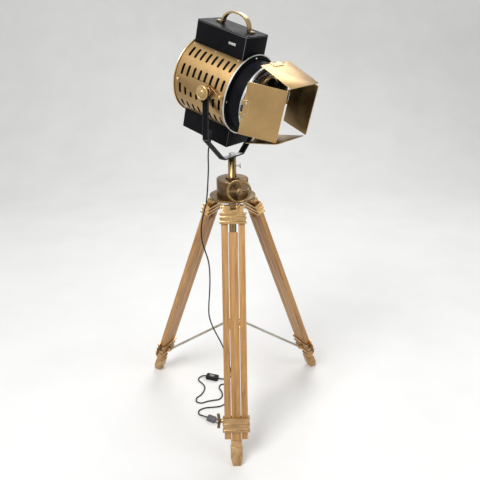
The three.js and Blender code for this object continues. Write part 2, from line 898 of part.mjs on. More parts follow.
function spreaderArm(name) {
  const length = Math.hypot(...spreaderReach());
  const half = spreaderEyeWidth / 2;
  const eye = rodY(spreaderEyeRadius, -half, half, 12);
  const rod = rodZ(spreaderRodRadius, spreaderEyeRadius / 2, length - spreaderTangLength / 2, 8);
  const hole = rodY(spreaderPinRadius + runningGap, -spreaderEyeWidth, spreaderEyeWidth, 8);
  const thin = spreaderTangWidth / 2;
  const wide = spreaderTangRadius;
  const tang = block(-wide, wide, -thin, thin, length - spreaderTangLength, length);
  const end = rodY(spreaderTangRadius, -thin, thin, 10).translate(0, 0, length);
  const bar = common(join(rod, tang), block(-wide, wide, -half, half, 0, length));
  return part(name, cut(join(eye, bar, end), hole), brass);
}

// Hub: a plate under the three arm ends, with a fork of two cheeks for each
function spreaderHub() {
  const plateTop = spreaderHubHeight - spreaderTangRadius - seatGap;
  let solid = toSolid(rodZ(hubRadius, plateTop - hubThickness, plateTop, 24));
  const inner = spreaderTangWidth / 2 + hubForkClearance;
  for (const angle of legAngles) {
    const slot = block(hubForkInner, hubRadius * 2, -inner, inner, 0, plateTop * 2);
    solid = solid.subtract(toSolid(slot.rotateZ(radians(angle))));
    for (const side of [1, -1]) {
      const edges = [side * inner, side * (inner + hubForkWidth)].sort((a, b) => a - b);
      const top = plateTop + hubForkHeight;
      const cheek = block(hubForkInner, hubForkOuter, edges[0], edges[1], plateTop - hubThickness / 2, top);
      solid = solid.add(toSolid(cheek.rotateZ(radians(angle))));
    }
  }
  return part("spreader_hub", toGeometry(solid), brass);
}

function addLeg(parent, i) {
  const name = legNames[i];
  const turned = frame(parent);
  turned.rotation.z = radians(legAngles[i]);
  const leg = frame(turned, hingeRadius, 0, hingeHeight);
  leg.rotation.y = -lean;
  leg.add(legBracket(`${name}_leg_bracket`));
  leg.add(legRails(`${name}_leg_rails`));
  leg.add(legClamp(`${name}_leg_clamp`, screwSides[i]));
  leg.add(legStrip(`${name}_leg_strip`));
  leg.add(legFoot(`${name}_foot`));
  leg.add(wingScrew(`${name}_wing_screw`, screwSides[i]));
  const [reach, rise] = spreaderReach();
  const arm = frame(leg, -spreaderOffset, 0, -spreaderPosition);
  arm.rotation.y = lean - Math.atan2(reach, rise);
  arm.add(spreaderArm(`${name}_spreader_arm`));
}

// The yoke's arms lean forward, from the swivel to the tilt axis
function leanForward(geometry, low) {
  const slope = pivotForward / (pivotHeight - low);
  const shear = new THREE.Matrix4().makeShear(0, 0, 0, 0, slope, 0);
  return geometry.applyMatrix4(shear).translate(-slope * low, 0, 0);
}

// Yoke: one flat bar, bent up on both sides of the drum
function yoke() {
  const low = columnTop + seatGap + yokeThickness / 2;
  const armMiddle = yokeArmFace + yokeThickness / 2;
  const armTop = pivotHeight + yokeBarWidth / 2;
  const line = [
    [-armMiddle, armTop],
    [-armMiddle, yokeBendHeight],
    [-yokeFlatHalf, low],
    [yokeFlatHalf, low],
    [armMiddle, yokeBendHeight],
    [armMiddle, armTop],
  ];
  const half = yokeBarWidth / 2;
  const bar = prismZ(stripOutline(line, yokeThickness), -half, half);
  bar.rotateX(Math.PI / 2).rotateZ(Math.PI / 2);
  const far = armMiddle * 2;
  const rounding = join(
    block(-half, half, -far, far, columnTop, pivotHeight),
    rodY(half, -far, far, 16).translate(0, 0, pivotHeight),
  );
  const leaning = leanForward(common(bar, rounding), low);
  const pivotHole = rodY(tiltBoltRadius + runningGap, -far, far, 10).translate(pivotForward, 0, pivotHeight);
  const swivelHole = rodZ(swivelRadius + seatGap, columnTop - overrun, columnTop + yokeThickness * 2, 16);
  return part("yoke", cut(leaning, pivotHole, swivelHole), black);
}

function swivelBolt() {
  const seat = columnTop + seatGap + yokeThickness + seatGap;
  const shank = rodZ(swivelRadius, columnTop - socketDepth + seatGap, seat + seatGap, 16);
  const head = rodZ(swivelHeadRadius, seat, seat + swivelHeadHeight, 6);
  return part("swivel_bolt", join(shank, head), steel);
}

// Tee screw in the column's socket wall that holds the swivel
function panScrew() {
  const tip = swivelRadius + seatGap;
  const stem = rodX(panScrewRadius, tip, panScrewReach, 12);
  const half = panBarWidth / 2;
  const high = panBarHeight / 2;
  const bar = block(panScrewReach - panBarThickness, panScrewReach, -half, half, -high, high);
  return at(part("swivel_lock_screw", join(stem, bar), steel), 0, 0, panScrewHeight);
}

// Domed knob: a blind nut on the side plate's stud, drawn along +Y and turned for the other side
function tiltKnob(name, side) {
  const base = yokeArmFace + yokeThickness + seatGap;
  const flat = base + knobNeckLength;
  const rim = flat + knobThickness;
  const boreEnd = base + knobBoreDepth;
  const bore = tiltBoltRadius + runningGap;
  const outline = [
    [0, boreEnd],
    [bore, boreEnd],
    [bore, base],
    [knobNeckRadius, base],
    [knobNeckRadius, flat],
    [knobRadius, flat],
    [knobRadius, flat + knobThickness * 0.7],
    [knobRadius * 0.9, rim],
    [knobRadius * 0.6, rim + knobDome * 0.7],
    [knobRadius * 0.25, rim + knobDome],
    [0, rim + knobDome],
  ];
  const knob = turnedZ(outline, 20).rotateX(-Math.PI / 2);
  return part(name, knob.rotateZ(side > 0 ? 0 : Math.PI), brass);
}

// Side plate: a lozenge of brass that stands off the drum on its two ends, with the tilt stud
function sidePlate(name, side) {
  const inner = drumRadius + plateStandoff;
  const outline = polygon([
    [plateRear, -plateEndHalf],
    [plateRearFoot, -plateEndHalf],
    [plateRearShoulder, -plateHalfWidth],
    [plateFrontShoulder, -plateHalfWidth],
    [plateFrontFoot, -plateEndHalf],
    [plateFront, -plateEndHalf],
    [plateFront, plateEndHalf],
    [plateFrontFoot, plateEndHalf],
    [plateFrontShoulder, plateHalfWidth],
    [plateRearShoulder, plateHalfWidth],
    [plateRearFoot, plateEndHalf],
    [plateRear, plateEndHalf],
  ]);
  const sheet = prismZ(outline, -inner - plateThickness, -inner).rotateX(Math.PI / 2);
  const seat = drumRadius;
  const rearPad = block(plateRear, plateRearFoot, seat, inner + seatGap, -plateEndHalf, plateEndHalf);
  const frontPad = block(plateFrontFoot, plateFront, seat, inner + seatGap, -plateEndHalf, plateEndHalf);
  const bossEnd = yokeArmFace - seatGap;
  const boss = rodY(plateBossRadius, inner, bossEnd, 18);
  const studEnd = yokeArmFace + yokeThickness + knobBoreDepth;
  const stud = rodY(tiltBoltRadius, bossEnd - seatGap, studEnd, 10);
  const plate = join(sheet, rearPad, frontPad, boss, stud);
  return part(name, side > 0 ? plate : plate.scale(1, -1, 1), brass);
}

// Drum shell: a curved sheet beside the boxes, pierced by rows of round-ended slots
function drumArc(radius, from, to) {
  const angles = [from];
  const firstEdge = slotFirstAngle - slotRowPitch / 4;
  for (let angle = firstEdge; angle < to; angle += slotRowPitch / 2) angles.push(angle);
  angles.push(to);
  return angles.map((angle) => [radius * Math.sin(radians(angle)), radius * Math.cos(radians(angle))]);
}

function slotCutter(along, angle) {
  const middle = drumRadius - drumWall / 2;
  const half = (radians(slotSpan) / 2) * middle;
  const wide = slotWidth / 2;
  const square = half - wide;
  const outline = polygon([
    [-wide, -square],
    [0, -half],
    [wide, -square],
    [wide, square],
    [0, half],
    [-wide, square],
  ]);
  const tool = prismZ(outline, middle - slotWidth, middle + slotWidth);
  return tool.translate(along, 0, 0).rotateX(-radians(angle));
}

function drumShell(name, side) {
  const start = THREE.MathUtils.radToDeg(Math.asin((boxHalfWidth + seatGap) / (drumRadius - drumWall)));
  const outer = drumArc(drumRadius, start, halfTurn - start);
  const inner = drumArc(drumRadius - drumWall, start, halfTurn - start).reverse();
  const sheet = prismZ(polygon([...outer, ...inner]), drumRear, drumFront);
  sheet.rotateX(Math.PI / 2).rotateZ(Math.PI / 2);
  let tools = null;
  for (let row = 0; row < slotRows; row += 1) {
    for (let i = 0; i < slotsPerRow; i += 1) {
      const tool = toSolid(slotCutter(slotFirst + i * slotPitch, slotFirstAngle + row * slotRowPitch));
      tools = tools ? tools.add(tool) : tool;
    }
  }
  const pierced = toGeometry(toSolid(sheet).subtract(tools));
  return part(name, side > 0 ? pierced : pierced.scale(1, -1, 1), brass);
}

// Rear cover: a pressed disc with a raised ring, a cap and a rolled rim
function rearCover() {
  const front = drumRear - seatGap;
  const back = front - rearPlateThickness;
  const rimBack = front - rearRimLength;
  const bead = rearPlateThickness;
  const cover = turnedX([
    [0, front],
    [rearRimRadius - bead / 2, front],
    [rearRimRadius, front - bead],
    [rearRimRadius, rimBack + bead / 2],
    [rearRimRadius - bead * 2, rimBack],
    [rearRimRadius - bead * 3, back],
    [rearStepRadius + rearStepHeight, back],
    [rearStepRadius, back - rearStepHeight],
    [rearCapRadius, back - rearStepHeight],
    [rearCapRadius - rearStepHeight * 2, back - rearCapHeight],
    [0, back - rearCapHeight],
  ], 30);
  return part("rear_cover", cover, brass);
}

function boxOutline(shrink) {
  const length = boxFront - boxRear - shrink * 2;
  const width = boxHalfWidth * 2 - shrink * 2;
  return roundedRect(length, width, Math.max(boxCorner - shrink, weldTolerance));
}

function boxMiddle() {
  return (boxFront + boxRear) / 2;
}

function ventBox() {
  const top = ventBoxTop - lidThickness - seatGap;
  const walls = prismZ(boxOutline(0), boxInnerEnd, top);
  const space = prismZ(boxOutline(boxWall), boxInnerEnd - overrun, top + overrun);
  return part("vent_box", cut(walls, space).translate(boxMiddle(), 0, 0), black);
}

function ventBoxLid() {
  const under = ventBoxTop - lidThickness;
  const plate = prismZ(boxOutline(0), under, ventBoxTop);
  const lip = prismZ(boxOutline(boxWall + seatGap), under - lidLip, under + lidThickness / 2);
  const space = prismZ(boxOutline(boxWall * 2 + seatGap), under - lidLip * 2, under);
  return part("vent_box_lid", join(plate, cut(lip, space)).translate(boxMiddle(), 0, 0), black);
}

// Lamp box: the tray under the drum, with vertical vents on both sides
function lampBox() {
  const walls = prismZ(boxOutline(0), lampBoxBottom, -boxInnerEnd);
  const space = prismZ(boxOutline(boxWall), lampBoxBottom + boxWall, -boxInnerEnd + overrun);
  let solid = toSolid(cut(walls, space).translate(boxMiddle(), 0, 0));
  const far = boxHalfWidth + overrun;
  for (let i = 0; i < louvreCount; i += 1) {
    const x = louvreFirst + i * louvrePitch;
    const slit = block(x, x + louvreWidth, -far, far, louvreLow, louvreHigh);
    solid = solid.subtract(toSolid(slit));
  }
  const gland = rodZ(glandStart + runningGap, lampBoxBottom - overrun, lampBoxBottom + overrun, 12);
  solid = solid.subtract(toSolid(gland.translate(glandForward, glandLeft, 0)));
  return part("lamp_box", toGeometry(solid), black);
}

// Handle: a strap bent into an arch, with a foot at each end on the lid
function handleLine() {
  const low = ventBoxTop + seatGap + handleThickness / 2;
  const high = ventBoxTop + handleRise - handleThickness / 2;
  const rear = handleRear + handleThickness / 2;
  const front = handleFront - handleThickness / 2;
  const crown = (high - low) * handleCrownShare;
  const arch = [
    ...arcPoints(rear + handleCrown, high - crown, handleCrown, crown, Math.PI, Math.PI / 2, 7),
    ...arcPoints(front - handleCrown, high - crown, handleCrown, crown, Math.PI / 2, 0, 7),
  ];
  return [
    [handleRear - handleFootLength, low],
    [rear, low],
    ...arch,
    [front, low],
    [handleFront + handleFootLength * 0.8, low],
  ];
}

function handle() {
  const strap = prismZ(stripOutline(handleLine(), handleThickness), -handleWidth / 2, handleWidth / 2);
  return part("carrying_handle", strap.rotateX(Math.PI / 2), agedBrass);
}

// Front ring: the black casting that fits in the drum, closes it and carries the barrel
function frontRing() {
  const rear = boxFront + seatGap;
  const flange = drumFront + seatGap;
  const front = flange + ringLength;
  const bead = ringBeadDepth;
  const spigot = drumRadius - drumWall - ringSpigotPlay;
  const ring = turnedX([
    [ringBore, rear],
    [spigot, rear],
    [spigot, flange],
    [ringRadius - bead, flange],
    [ringRadius, flange + bead],
    [ringRadius, front - bead * 2],
    [ringRadius - bead, front - bead],
    [ringStepRadius, front - bead],
    [ringStepRadius - bead, front],
    [ringBore, front],
  ], 30);
  return part("front_ring", ring, black);
}

// Barrel: a tube with a seat for the lens, clips before it, and the four fixed door knuckles
function lensBarrel() {
  const rear = drumFront + seatGap + ringLength + seatGap;
  const inner = barrelBore;
  const tube = turnedX([
    [inner, rear],
    [barrelRadius, rear],
    [barrelRadius, barrelEnd - barrelFlangeLength],
    [barrelFlangeRadius, barrelEnd - barrelFlangeLength],
    [barrelFlangeRadius, barrelEnd],
    [inner, barrelEnd],
    [inner, lensSeat + lensSeatLength],
    [lensSeatBore, lensSeat + lensSeatLength],
    [lensSeatBore, lensSeat],
    [inner, lensSeat],
  ], 30);
  let solid = toSolid(tube);
  const clipStart = lensFront + lensEdge + lensClipLift;
  for (let i = 0; i < lensClipCount; i += 1) {
    const half = lensClipWidth / 2;
    const low = inner - lensClipHeight;
    const clip = block(clipStart, clipStart + lensSeatLength, -half, half, low, inner + barrelWall / 2);
    solid = solid.add(toSolid(clip.rotateX((i * 2 * Math.PI) / lensClipCount)));
  }
  doorNames.forEach((_, i) => {
    const tab = block(barrelEnd - barrelFlangeLength, doorHingeForward, -doorFixedHalf, doorFixedHalf,
      barrelRadius - barrelWall / 2, doorHinge);
    const eye = rodY(doorKnuckle, -doorFixedHalf, doorFixedHalf, 8).translate(doorHingeForward, 0, doorHinge);
    const hole = rodY(doorPin + runningGap, -doorMovingHalf, doorMovingHalf, 8);
    const knuckle = cut(join(tab, eye), hole.translate(doorHingeForward, 0, doorHinge));
    solid = solid.add(toSolid(knuckle.rotateX((i * Math.PI) / 2)));
  });
  return part("lens_barrel", toGeometry(solid), grey);
}

// Plano-convex lens
function lens() {
  const radius = barrelBore - seatGap * 3;
  const outline = [[0, lensFront], [radius, lensFront]];
  const steps = 4;
  for (let i = 0; i <= steps; i += 1) {
    const share = 1 - i / steps;
    outline.push([radius * share, lensFront + lensEdge + lensBulge * (1 - share * share)]);
  }
  return part("lens", turnedX(outline, 24), glass);
}

function reflector() {
  const steps = 3;
  const bowl = (radius, depth, offset) => {
    const points = [];
    for (let i = 0; i <= steps; i += 1) {
      const share = i / steps;
      const r = reflectorBoreRadius + (radius - reflectorBoreRadius) * share;
      points.push([r, reflectorBack + offset + depth * share * share]);
    }
    return points;
  };
  const front = bowl(reflectorRadius, reflectorDepth, reflectorWall);
  const back = bowl(reflectorRadius, reflectorDepth, 0).reverse();
  const dish = turnedX([...front, ...back], 20);
  const studEnd = reflectorBack + reflectorWall * 2;
  const plate = rodX(reflectorBoreRadius + reflectorWall, reflectorBack, studEnd, 14);
  const stud = rodX(reflectorStud, drumRear, reflectorBack + reflectorWall, 12);
  return part("reflector", join(dish, plate, stud), steel);
}

function lampSocket() {
  const floor = lampBoxBottom + boxWall + seatGap;
  const low = socketTop - socketLength;
  const socket = turnedZ([
    [0, floor],
    [socketOuter, floor],
    [socketOuter, floor + boxWall],
    [socketStem, floor + boxWall * 2],
    [socketStem, low],
    [socketOuter, low + boxWall],
    [socketOuter, socketTop],
    [bulbNeck + runningGap, socketTop],
    [bulbNeck + runningGap, socketTop - socketLength / 2],
    [0, socketTop - socketLength / 2],
  ], 16);
  return at(part("lamp_socket", socket, porcelain), bulbPosition, 0, 0);
}

function bulb() {
  const low = socketTop - socketLength / 2 + seatGap;
  const neckTop = -Math.sqrt(bulbRadius ** 2 - bulbNeck ** 2);
  const outline = [[0, low], [bulbNeck, low], [bulbNeck, neckTop]];
  const start = Math.asin(bulbNeck / bulbRadius);
  const steps = 6;
  for (let i = 1; i <= steps; i += 1) {
    const angle = start + ((Math.PI - start) * i) / steps;
    const radius = i === steps ? 0 : bulbRadius * Math.sin(angle);
    outline.push([radius, -bulbRadius * Math.cos(angle)]);
  }
  return at(part("bulb", turnedZ(outline, 16), glass), bulbPosition, 0, 0);
}

// Barn door: a sheet on a strap hinge, drawn with its hinge line along Y and the sheet along +X
function doorLeaf(name, width, length) {
  const low = doorLift;
  const sheet = prismZ(roundedRect(length - doorStart, width, doorCorner), low, low + doorThickness);
  sheet.translate((length + doorStart) / 2, 0, 0);
  const strapTop = low + doorThickness + doorStrapThickness;
  const strap = block(doorStart, doorStrapLength, -doorMovingHalf, doorMovingHalf, low, strapTop);
  const knuckle = (side) => {
    const near = side * (doorFixedHalf + seatGap);
    const far = side * doorMovingHalf;
    const [y0, y1] = [Math.min(near, far), Math.max(near, far)];
    const eye = rodY(doorKnuckle, y0, y1, 8);
    return join(eye, block(0, doorStart + doorKnuckle, y0, y1, low, strapTop));
  };
  const pin = rodY(doorPin, -doorMovingHalf, doorMovingHalf, 8);
  return part(name, join(sheet, strap, knuckle(1), knuckle(-1), pin), brass);
}

function addDoors(head) {
  doorNames.forEach((name, i) => {
    const turned = frame(head);
    turned.rotation.x = (i * Math.PI) / 2;
    const hinge = frame(turned, doorHingeForward, 0, doorHinge);
    hinge.rotation.y = radians(doorInward[i]);
    hinge.add(doorLeaf(`${name}_barn_door`, doorWidths[i], doorLengths[i]));
  });
}

// Gland and tapered strain relief under the lamp box
function cordGland() {
  const floor = lampBoxBottom - seatGap;
  const inside = lampBoxBottom + boxWall;
  const gland = turnedZ([
    [0, floor - glandCollarLength - reliefLength],
    [glandEnd, floor - glandCollarLength - reliefLength],
    [glandStart, floor - glandCollarLength],
    [glandCollar, floor - glandCollarLength],
    [glandCollar, floor],
    [glandStart, floor],
    [glandStart, inside],
    [0, inside],
  ], 12);
  return at(part("cord_strain_relief", gland, rubber), glandForward, glandLeft, 0);
}

function reliefEnd(head) {
  const tip = lampBoxBottom - seatGap - glandCollarLength - reliefLength - seatGap;
  return head.localToWorld(new THREE.Vector3(glandForward, glandLeft, tip));
}

function cordTube(name, points, steps) {
  const path = new THREE.CatmullRomCurve3(points, false, "centripetal");
  const section = new THREE.Shape();
  for (let i = 0; i < cordSides; i += 1) {
    const angle = (i * 2 * Math.PI) / cordSides;
    const [x, y] = [cordRadius * Math.cos(angle), cordRadius * Math.sin(angle)];
    if (i === 0) section.moveTo(x, y);
    else section.lineTo(x, y);
  }
  section.closePath();
  const tube = new THREE.ExtrudeGeometry(section, { steps, extrudePath: path, bevelEnabled: false });
  return part(name, tube, rubber);
}

function switchEnd(side) {
  const end = new THREE.Vector3(side * (switchLength / 2 + seatGap), 0, switchHeight / 2);
  end.applyAxisAngle(new THREE.Vector3(0, 0, 1), radians(switchTurn));
  return end.add(new THREE.Vector3(switchCentre[0], switchCentre[1], 0));
}

function plugEntry() {
  const back = new THREE.Vector3(-plugLength / 2 - seatGap, 0, plugHeight / 2);
  back.applyAxisAngle(new THREE.Vector3(0, 0, 1), radians(plugTurn));
  return back.add(new THREE.Vector3(plugPlace[0], plugPlace[1], 0));
}

function inlineSwitch() {
  const body = prismZ(roundedRect(switchLength, switchWidth, switchEdge), 0, switchHeight, 3);
  const x = rockerLength / 2 + seatGap * 2;
  const y = rockerWidth / 2 + seatGap * 2;
  const well = block(-x, x, -y, y, switchHeight - rockerDepth - rockerRise, switchHeight + overrun);
  const mesh = part("inline_switch", cut(body, well), rubber);
  mesh.rotation.z = radians(switchTurn);
  return at(mesh, switchCentre[0], switchCentre[1], 0);
}

// Rocker: a shallow vee that stands proud at one end
function switchRocker() {
  const half = rockerLength / 2;
  const outline = polygon([
    [-half, rockerRise],
    [0, 0],
    [half, rockerRise * 0.4],
    [half * 0.8, -rockerDepth * 0.5],
    [0, -rockerDepth],
    [-half * 0.8, -rockerDepth * 0.5],
  ]);
  const rocker = prismZ(outline, -rockerWidth / 2, rockerWidth / 2).rotateX(Math.PI / 2);
  const mesh = part("switch_rocker", rocker, grey);
  mesh.rotation.z = radians(switchTurn);
  return at(mesh, switchCentre[0], switchCentre[1], switchHeight);
}

function plug() {
  const body = prismZ(roundedRect(plugLength, plugWidth, switchEdge), 0, plugHeight, 3);
  const pinAt = (side) => {
    const pin = rodX(plugPinRadius, plugLength / 2 - overrun, plugLength / 2 + plugPinLength, 10);
    return pin.translate(0, (side * plugPinSpacing) / 2, plugHeight / 2);
  };
  const mesh = part("mains_plug", join(body, pinAt(1), pinAt(-1)), rubber);
  mesh.rotation.z = radians(plugTurn);
  return at(mesh, plugPlace[0], plugPlace[1], 0);
}

function vectors(route) {
  return route.map(([x, y, z]) => new THREE.Vector3(x, y, z));
}

function addCord(parent, head) {
  const hanging = [reliefEnd(head), ...vectors(hangingRoute), switchEnd(1)];
  parent.add(cordTube("power_cord", hanging, hangingSteps));
  parent.add(inlineSwitch());
  parent.add(switchRocker());
  const lying = [switchEnd(-1), ...vectors(floorRoute), plugEntry()];
  parent.add(cordTube("switch_to_plug_cord", lying, floorSteps));
  parent.add(plug());
}

// Assembly, about the column's axis
const assembly = new THREE.Group();
assembly.add(tripodCrown(), gearHousing());
const lowerSeat = crownUnderside - seatGap;
const upperSeat = housingTop + seatGap;
assembly.add(columnBush("lower_column_bush", lowerSeat, bushLength, bushFlangeThickness));
assembly.add(columnBush("upper_column_bush", upperSeat, -housingRoof, -bushFlangeThickness * 2));
legNames.forEach((_, i) => addLeg(assembly, i));
assembly.add(spreaderHub(), column(), pinionShaft(), handwheel(), wheelGrip(), panScrew());

const swivel = frame(assembly);
swivel.rotation.z = radians(headYaw);
swivel.add(yoke(), swivelBolt());

const tilt = frame(swivel, pivotForward, 0, pivotHeight);
tilt.rotation.y = radians(headPitch);
tilt.add(tiltKnob("left_tilt_knob", 1), tiltKnob("right_tilt_knob", -1));
tilt.add(sidePlate("left_side_plate", 1), sidePlate("right_side_plate", -1));

const setBack = pivotForward * Math.cos(radians(headPitch));
const setDown = pivotForward * Math.sin(radians(headPitch));
const head = frame(tilt, -setBack, 0, -setDown);
head.add(drumShell("left_drum_shell", 1), drumShell("right_drum_shell", -1), rearCover());
head.add(ventBox(), ventBoxLid(), handle(), lampBox());
head.add(frontRing(), lensBarrel(), lens(), reflector(), lampSocket(), bulb(), cordGland());
addDoors(head);

// The model stands with the middle of its footprint, without the lead, on the origin
assembly.updateMatrixWorld(true);
const footprint = new THREE.Box3().setFromObject(assembly, true);
const middle = footprint.getCenter(new THREE.Vector3());
addCord(assembly, head);
assembly.position.set(-middle.x, -middle.y, -footprint.min.z);

const searchlight = new THREE.Group();
searchlight.add(assembly);
searchlight.updateMatrixWorld(true);

export default searchlight;
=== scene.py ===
import math

import bmesh
import bpy
import numpy as np
from mathutils import Matrix, Vector


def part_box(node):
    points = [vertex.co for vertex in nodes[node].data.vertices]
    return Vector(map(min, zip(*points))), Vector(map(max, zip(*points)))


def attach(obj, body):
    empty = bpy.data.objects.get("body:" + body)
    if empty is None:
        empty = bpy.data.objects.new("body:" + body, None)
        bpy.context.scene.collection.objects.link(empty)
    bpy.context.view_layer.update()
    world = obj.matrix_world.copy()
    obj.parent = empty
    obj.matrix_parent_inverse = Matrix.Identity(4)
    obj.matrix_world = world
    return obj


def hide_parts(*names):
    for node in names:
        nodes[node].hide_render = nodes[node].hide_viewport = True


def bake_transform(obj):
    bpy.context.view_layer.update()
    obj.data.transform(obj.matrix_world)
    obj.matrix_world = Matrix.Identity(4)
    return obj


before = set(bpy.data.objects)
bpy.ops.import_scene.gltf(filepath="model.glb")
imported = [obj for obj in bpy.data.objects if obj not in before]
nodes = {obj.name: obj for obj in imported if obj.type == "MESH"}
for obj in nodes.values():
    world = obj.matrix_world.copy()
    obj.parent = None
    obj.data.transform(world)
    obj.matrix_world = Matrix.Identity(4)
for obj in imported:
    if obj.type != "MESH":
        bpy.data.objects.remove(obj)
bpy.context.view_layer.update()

# Places shared with the solids, in millimetres unless a name says otherwise
MM = 0.001
column_low, column_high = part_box("column")
AXIS = Vector(((column_low.x + column_high.x) / 2, (column_low.y + column_high.y) / 2, 0))
FOOT_RADIUS, HINGE_RADIUS, HINGE_HEIGHT = 402, 75, 865
LEAN = math.degrees(math.atan2(FOOT_RADIUS - HINGE_RADIUS, HINGE_HEIGHT))
LEG_ANGLES = {"front": -90, "right": 30, "left": 150}
HEAD_YAW, HEAD_PITCH = -39.4, 14.3
PIVOT_HEIGHT, PIVOT_FORWARD = 1272, 10
DOOR_HINGE_FORWARD, DOOR_HINGE_RISE = 151.5, 128
DOOR_INWARD = {"top": 14, "right": 28, "bottom": 20, "left": 17}
SIDES = {"left": 1, "right": -1}
# Clearance between pieces that seat on each other
SEAT = 0.3


def turn(axis, degrees):
    return Matrix.Rotation(math.radians(degrees), 4, axis)


def place(x, y, z):
    return Matrix.Translation((x * MM, y * MM, z * MM))


SCALE = Matrix.Scale(MM, 4)
STAND = Matrix.Translation(AXIS)
SWIVEL = STAND @ turn("Z", HEAD_YAW)
HEAD = SWIVEL @ place(0, 0, PIVOT_HEIGHT) @ turn("Y", HEAD_PITCH)
TILT = SWIVEL @ place(PIVOT_FORWARD, 0, PIVOT_HEIGHT) @ turn("Y", HEAD_PITCH)
LEGS = {
    name: STAND @ turn("Z", angle) @ place(HINGE_RADIUS, 0, HINGE_HEIGHT) @ turn("Y", -LEAN)
    for name, angle in LEG_ANGLES.items()
}
DOORS = {
    name: HEAD @ turn("X", 90 * i) @ place(DOOR_HINGE_FORWARD, 0, DOOR_HINGE_RISE) @ turn("Y", inward)
    for i, (name, inward) in enumerate(DOOR_INWARD.items())
}


# Camera at the photograph's place and angle
CAMERA_YAW, CAMERA_PITCH, CAMERA_ROLL = 0.0124, 0.3981, -0.0114
CAMERA_PLACE = Vector((0, -2.035, 1.5615))
PHOTO_WIDTH, PHOTO_FOCAL, SENSOR = 480, 584.94, 36


def make_camera():
    # Angles in radians, a place in metres from the column's foot, and a focal length in pixels
    yaw, pitch, roll = CAMERA_YAW, CAMERA_PITCH, CAMERA_ROLL
    level_share = math.cos(pitch)
    forward = Vector((math.sin(yaw) * level_share, math.cos(yaw) * level_share, -math.sin(pitch)))
    level = Vector((math.cos(yaw), -math.sin(yaw), 0))
    upright = level.cross(forward)
    right = level * math.cos(roll) + upright * math.sin(roll)
    up = upright * math.cos(roll) - level * math.sin(roll)
    data = bpy.data.cameras.new("camera")
    data.sensor_width = SENSOR
    data.lens = SENSOR * PHOTO_FOCAL / PHOTO_WIDTH
    camera = bpy.data.objects.new("camera", data)
    bpy.context.scene.collection.objects.link(camera)
    turned = Matrix((right, up, -forward)).transposed().to_4x4()
    camera.matrix_world = Matrix.Translation(AXIS + CAMERA_PLACE) @ turned
    bpy.context.scene.camera = camera


make_camera()


# Mesh helpers; flat sides that stand for a round one
TURNED_SIDES, CORD_SIDES, DOME_SIDES = 96, 12, 20


def new_object(name, mesh, material, body, sharp):
    # A piece that rides a body, or none
    piece = bpy.data.objects.new(name, mesh)
    bpy.context.scene.collection.objects.link(piece)
    mesh.materials.append(material)
    smooth(mesh, sharp)
    if body:
        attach(piece, body)
    return piece


def smooth(mesh, sharp):
    mesh.polygons.foreach_set("use_smooth", [True] * len(mesh.polygons))
    mesh.set_sharp_from_angle(angle=math.radians(sharp))


def from_bmesh(name, shape, matrix, material, body, sharp=35):
    # A shape drawn in millimetres, set in its place
    bmesh.ops.recalc_face_normals(shape, faces=shape.faces)
    bmesh.ops.transform(shape, matrix=matrix @ SCALE, verts=shape.verts)
    mesh = bpy.data.meshes.new(name)
    shape.to_mesh(mesh)
    shape.free()
    return new_object(name, mesh, material, body, sharp)


def bevel(piece, width, segments=2, angle=30):
    modifier = piece.modifiers.new("bevel", "BEVEL")
    modifier.width = width * MM
    modifier.segments = segments
    modifier.limit_method = "ANGLE"
    modifier.angle_limit = math.radians(angle)
    return piece


def catmull(points, count):
    # The centripetal curve through the points, at evenly spaced stations
    p = np.array(points, float)
    p = np.vstack([2 * p[0] - p[1], p, 2 * p[-1] - p[-2]])
    fine = []
    for i in range(1, len(p) - 2):
        p0, p1, p2, p3 = p[i - 1:i + 3]
        steps = ((p0, p1), (p1, p2), (p2, p3))
        d0, d1, d2 = [max(np.linalg.norm(b - a) ** 0.5, 1e-6) for a, b in steps]
        m1 = ((p1 - p0) / d0 - (p2 - p0) / (d0 + d1) + (p2 - p1) / d1) * d1
        m2 = ((p2 - p1) / d1 - (p3 - p1) / (d1 + d2) + (p3 - p2) / d2) * d1
        for t in np.linspace(0, 1, 24, endpoint=False):
            a = 2 * p1 - 2 * p2 + m1 + m2
            b = -3 * p1 + 3 * p2 - 2 * m1 - m2
            fine.append(a * t ** 3 + b * t ** 2 + m1 * t + p1)
    fine.append(p[-2])
    fine = np.array(fine)
    along = np.concatenate([[0], np.cumsum(np.linalg.norm(np.diff(fine, axis=0), axis=1))])
    stations = np.linspace(0, along[-1], count)
    return np.stack([np.interp(stations, along, fine[:, k]) for k in range(3)], axis=1)


def band(low, high):
    # The quads between two closed loops of one count
    return list(zip(low, low[1:] + low[:1], high[1:] + high[:1], high))


def loft(shape, rows):
    # A closed body through loops of points, with a cap at each end
    loops = [[shape.verts.new(point) for point in row] for row in rows]
    for low, high in zip(loops, loops[1:]):
        for quad in band(low, high):
            shape.faces.new(quad)
    shape.faces.new(loops[0][::-1])
    shape.faces.new(loops[-1])


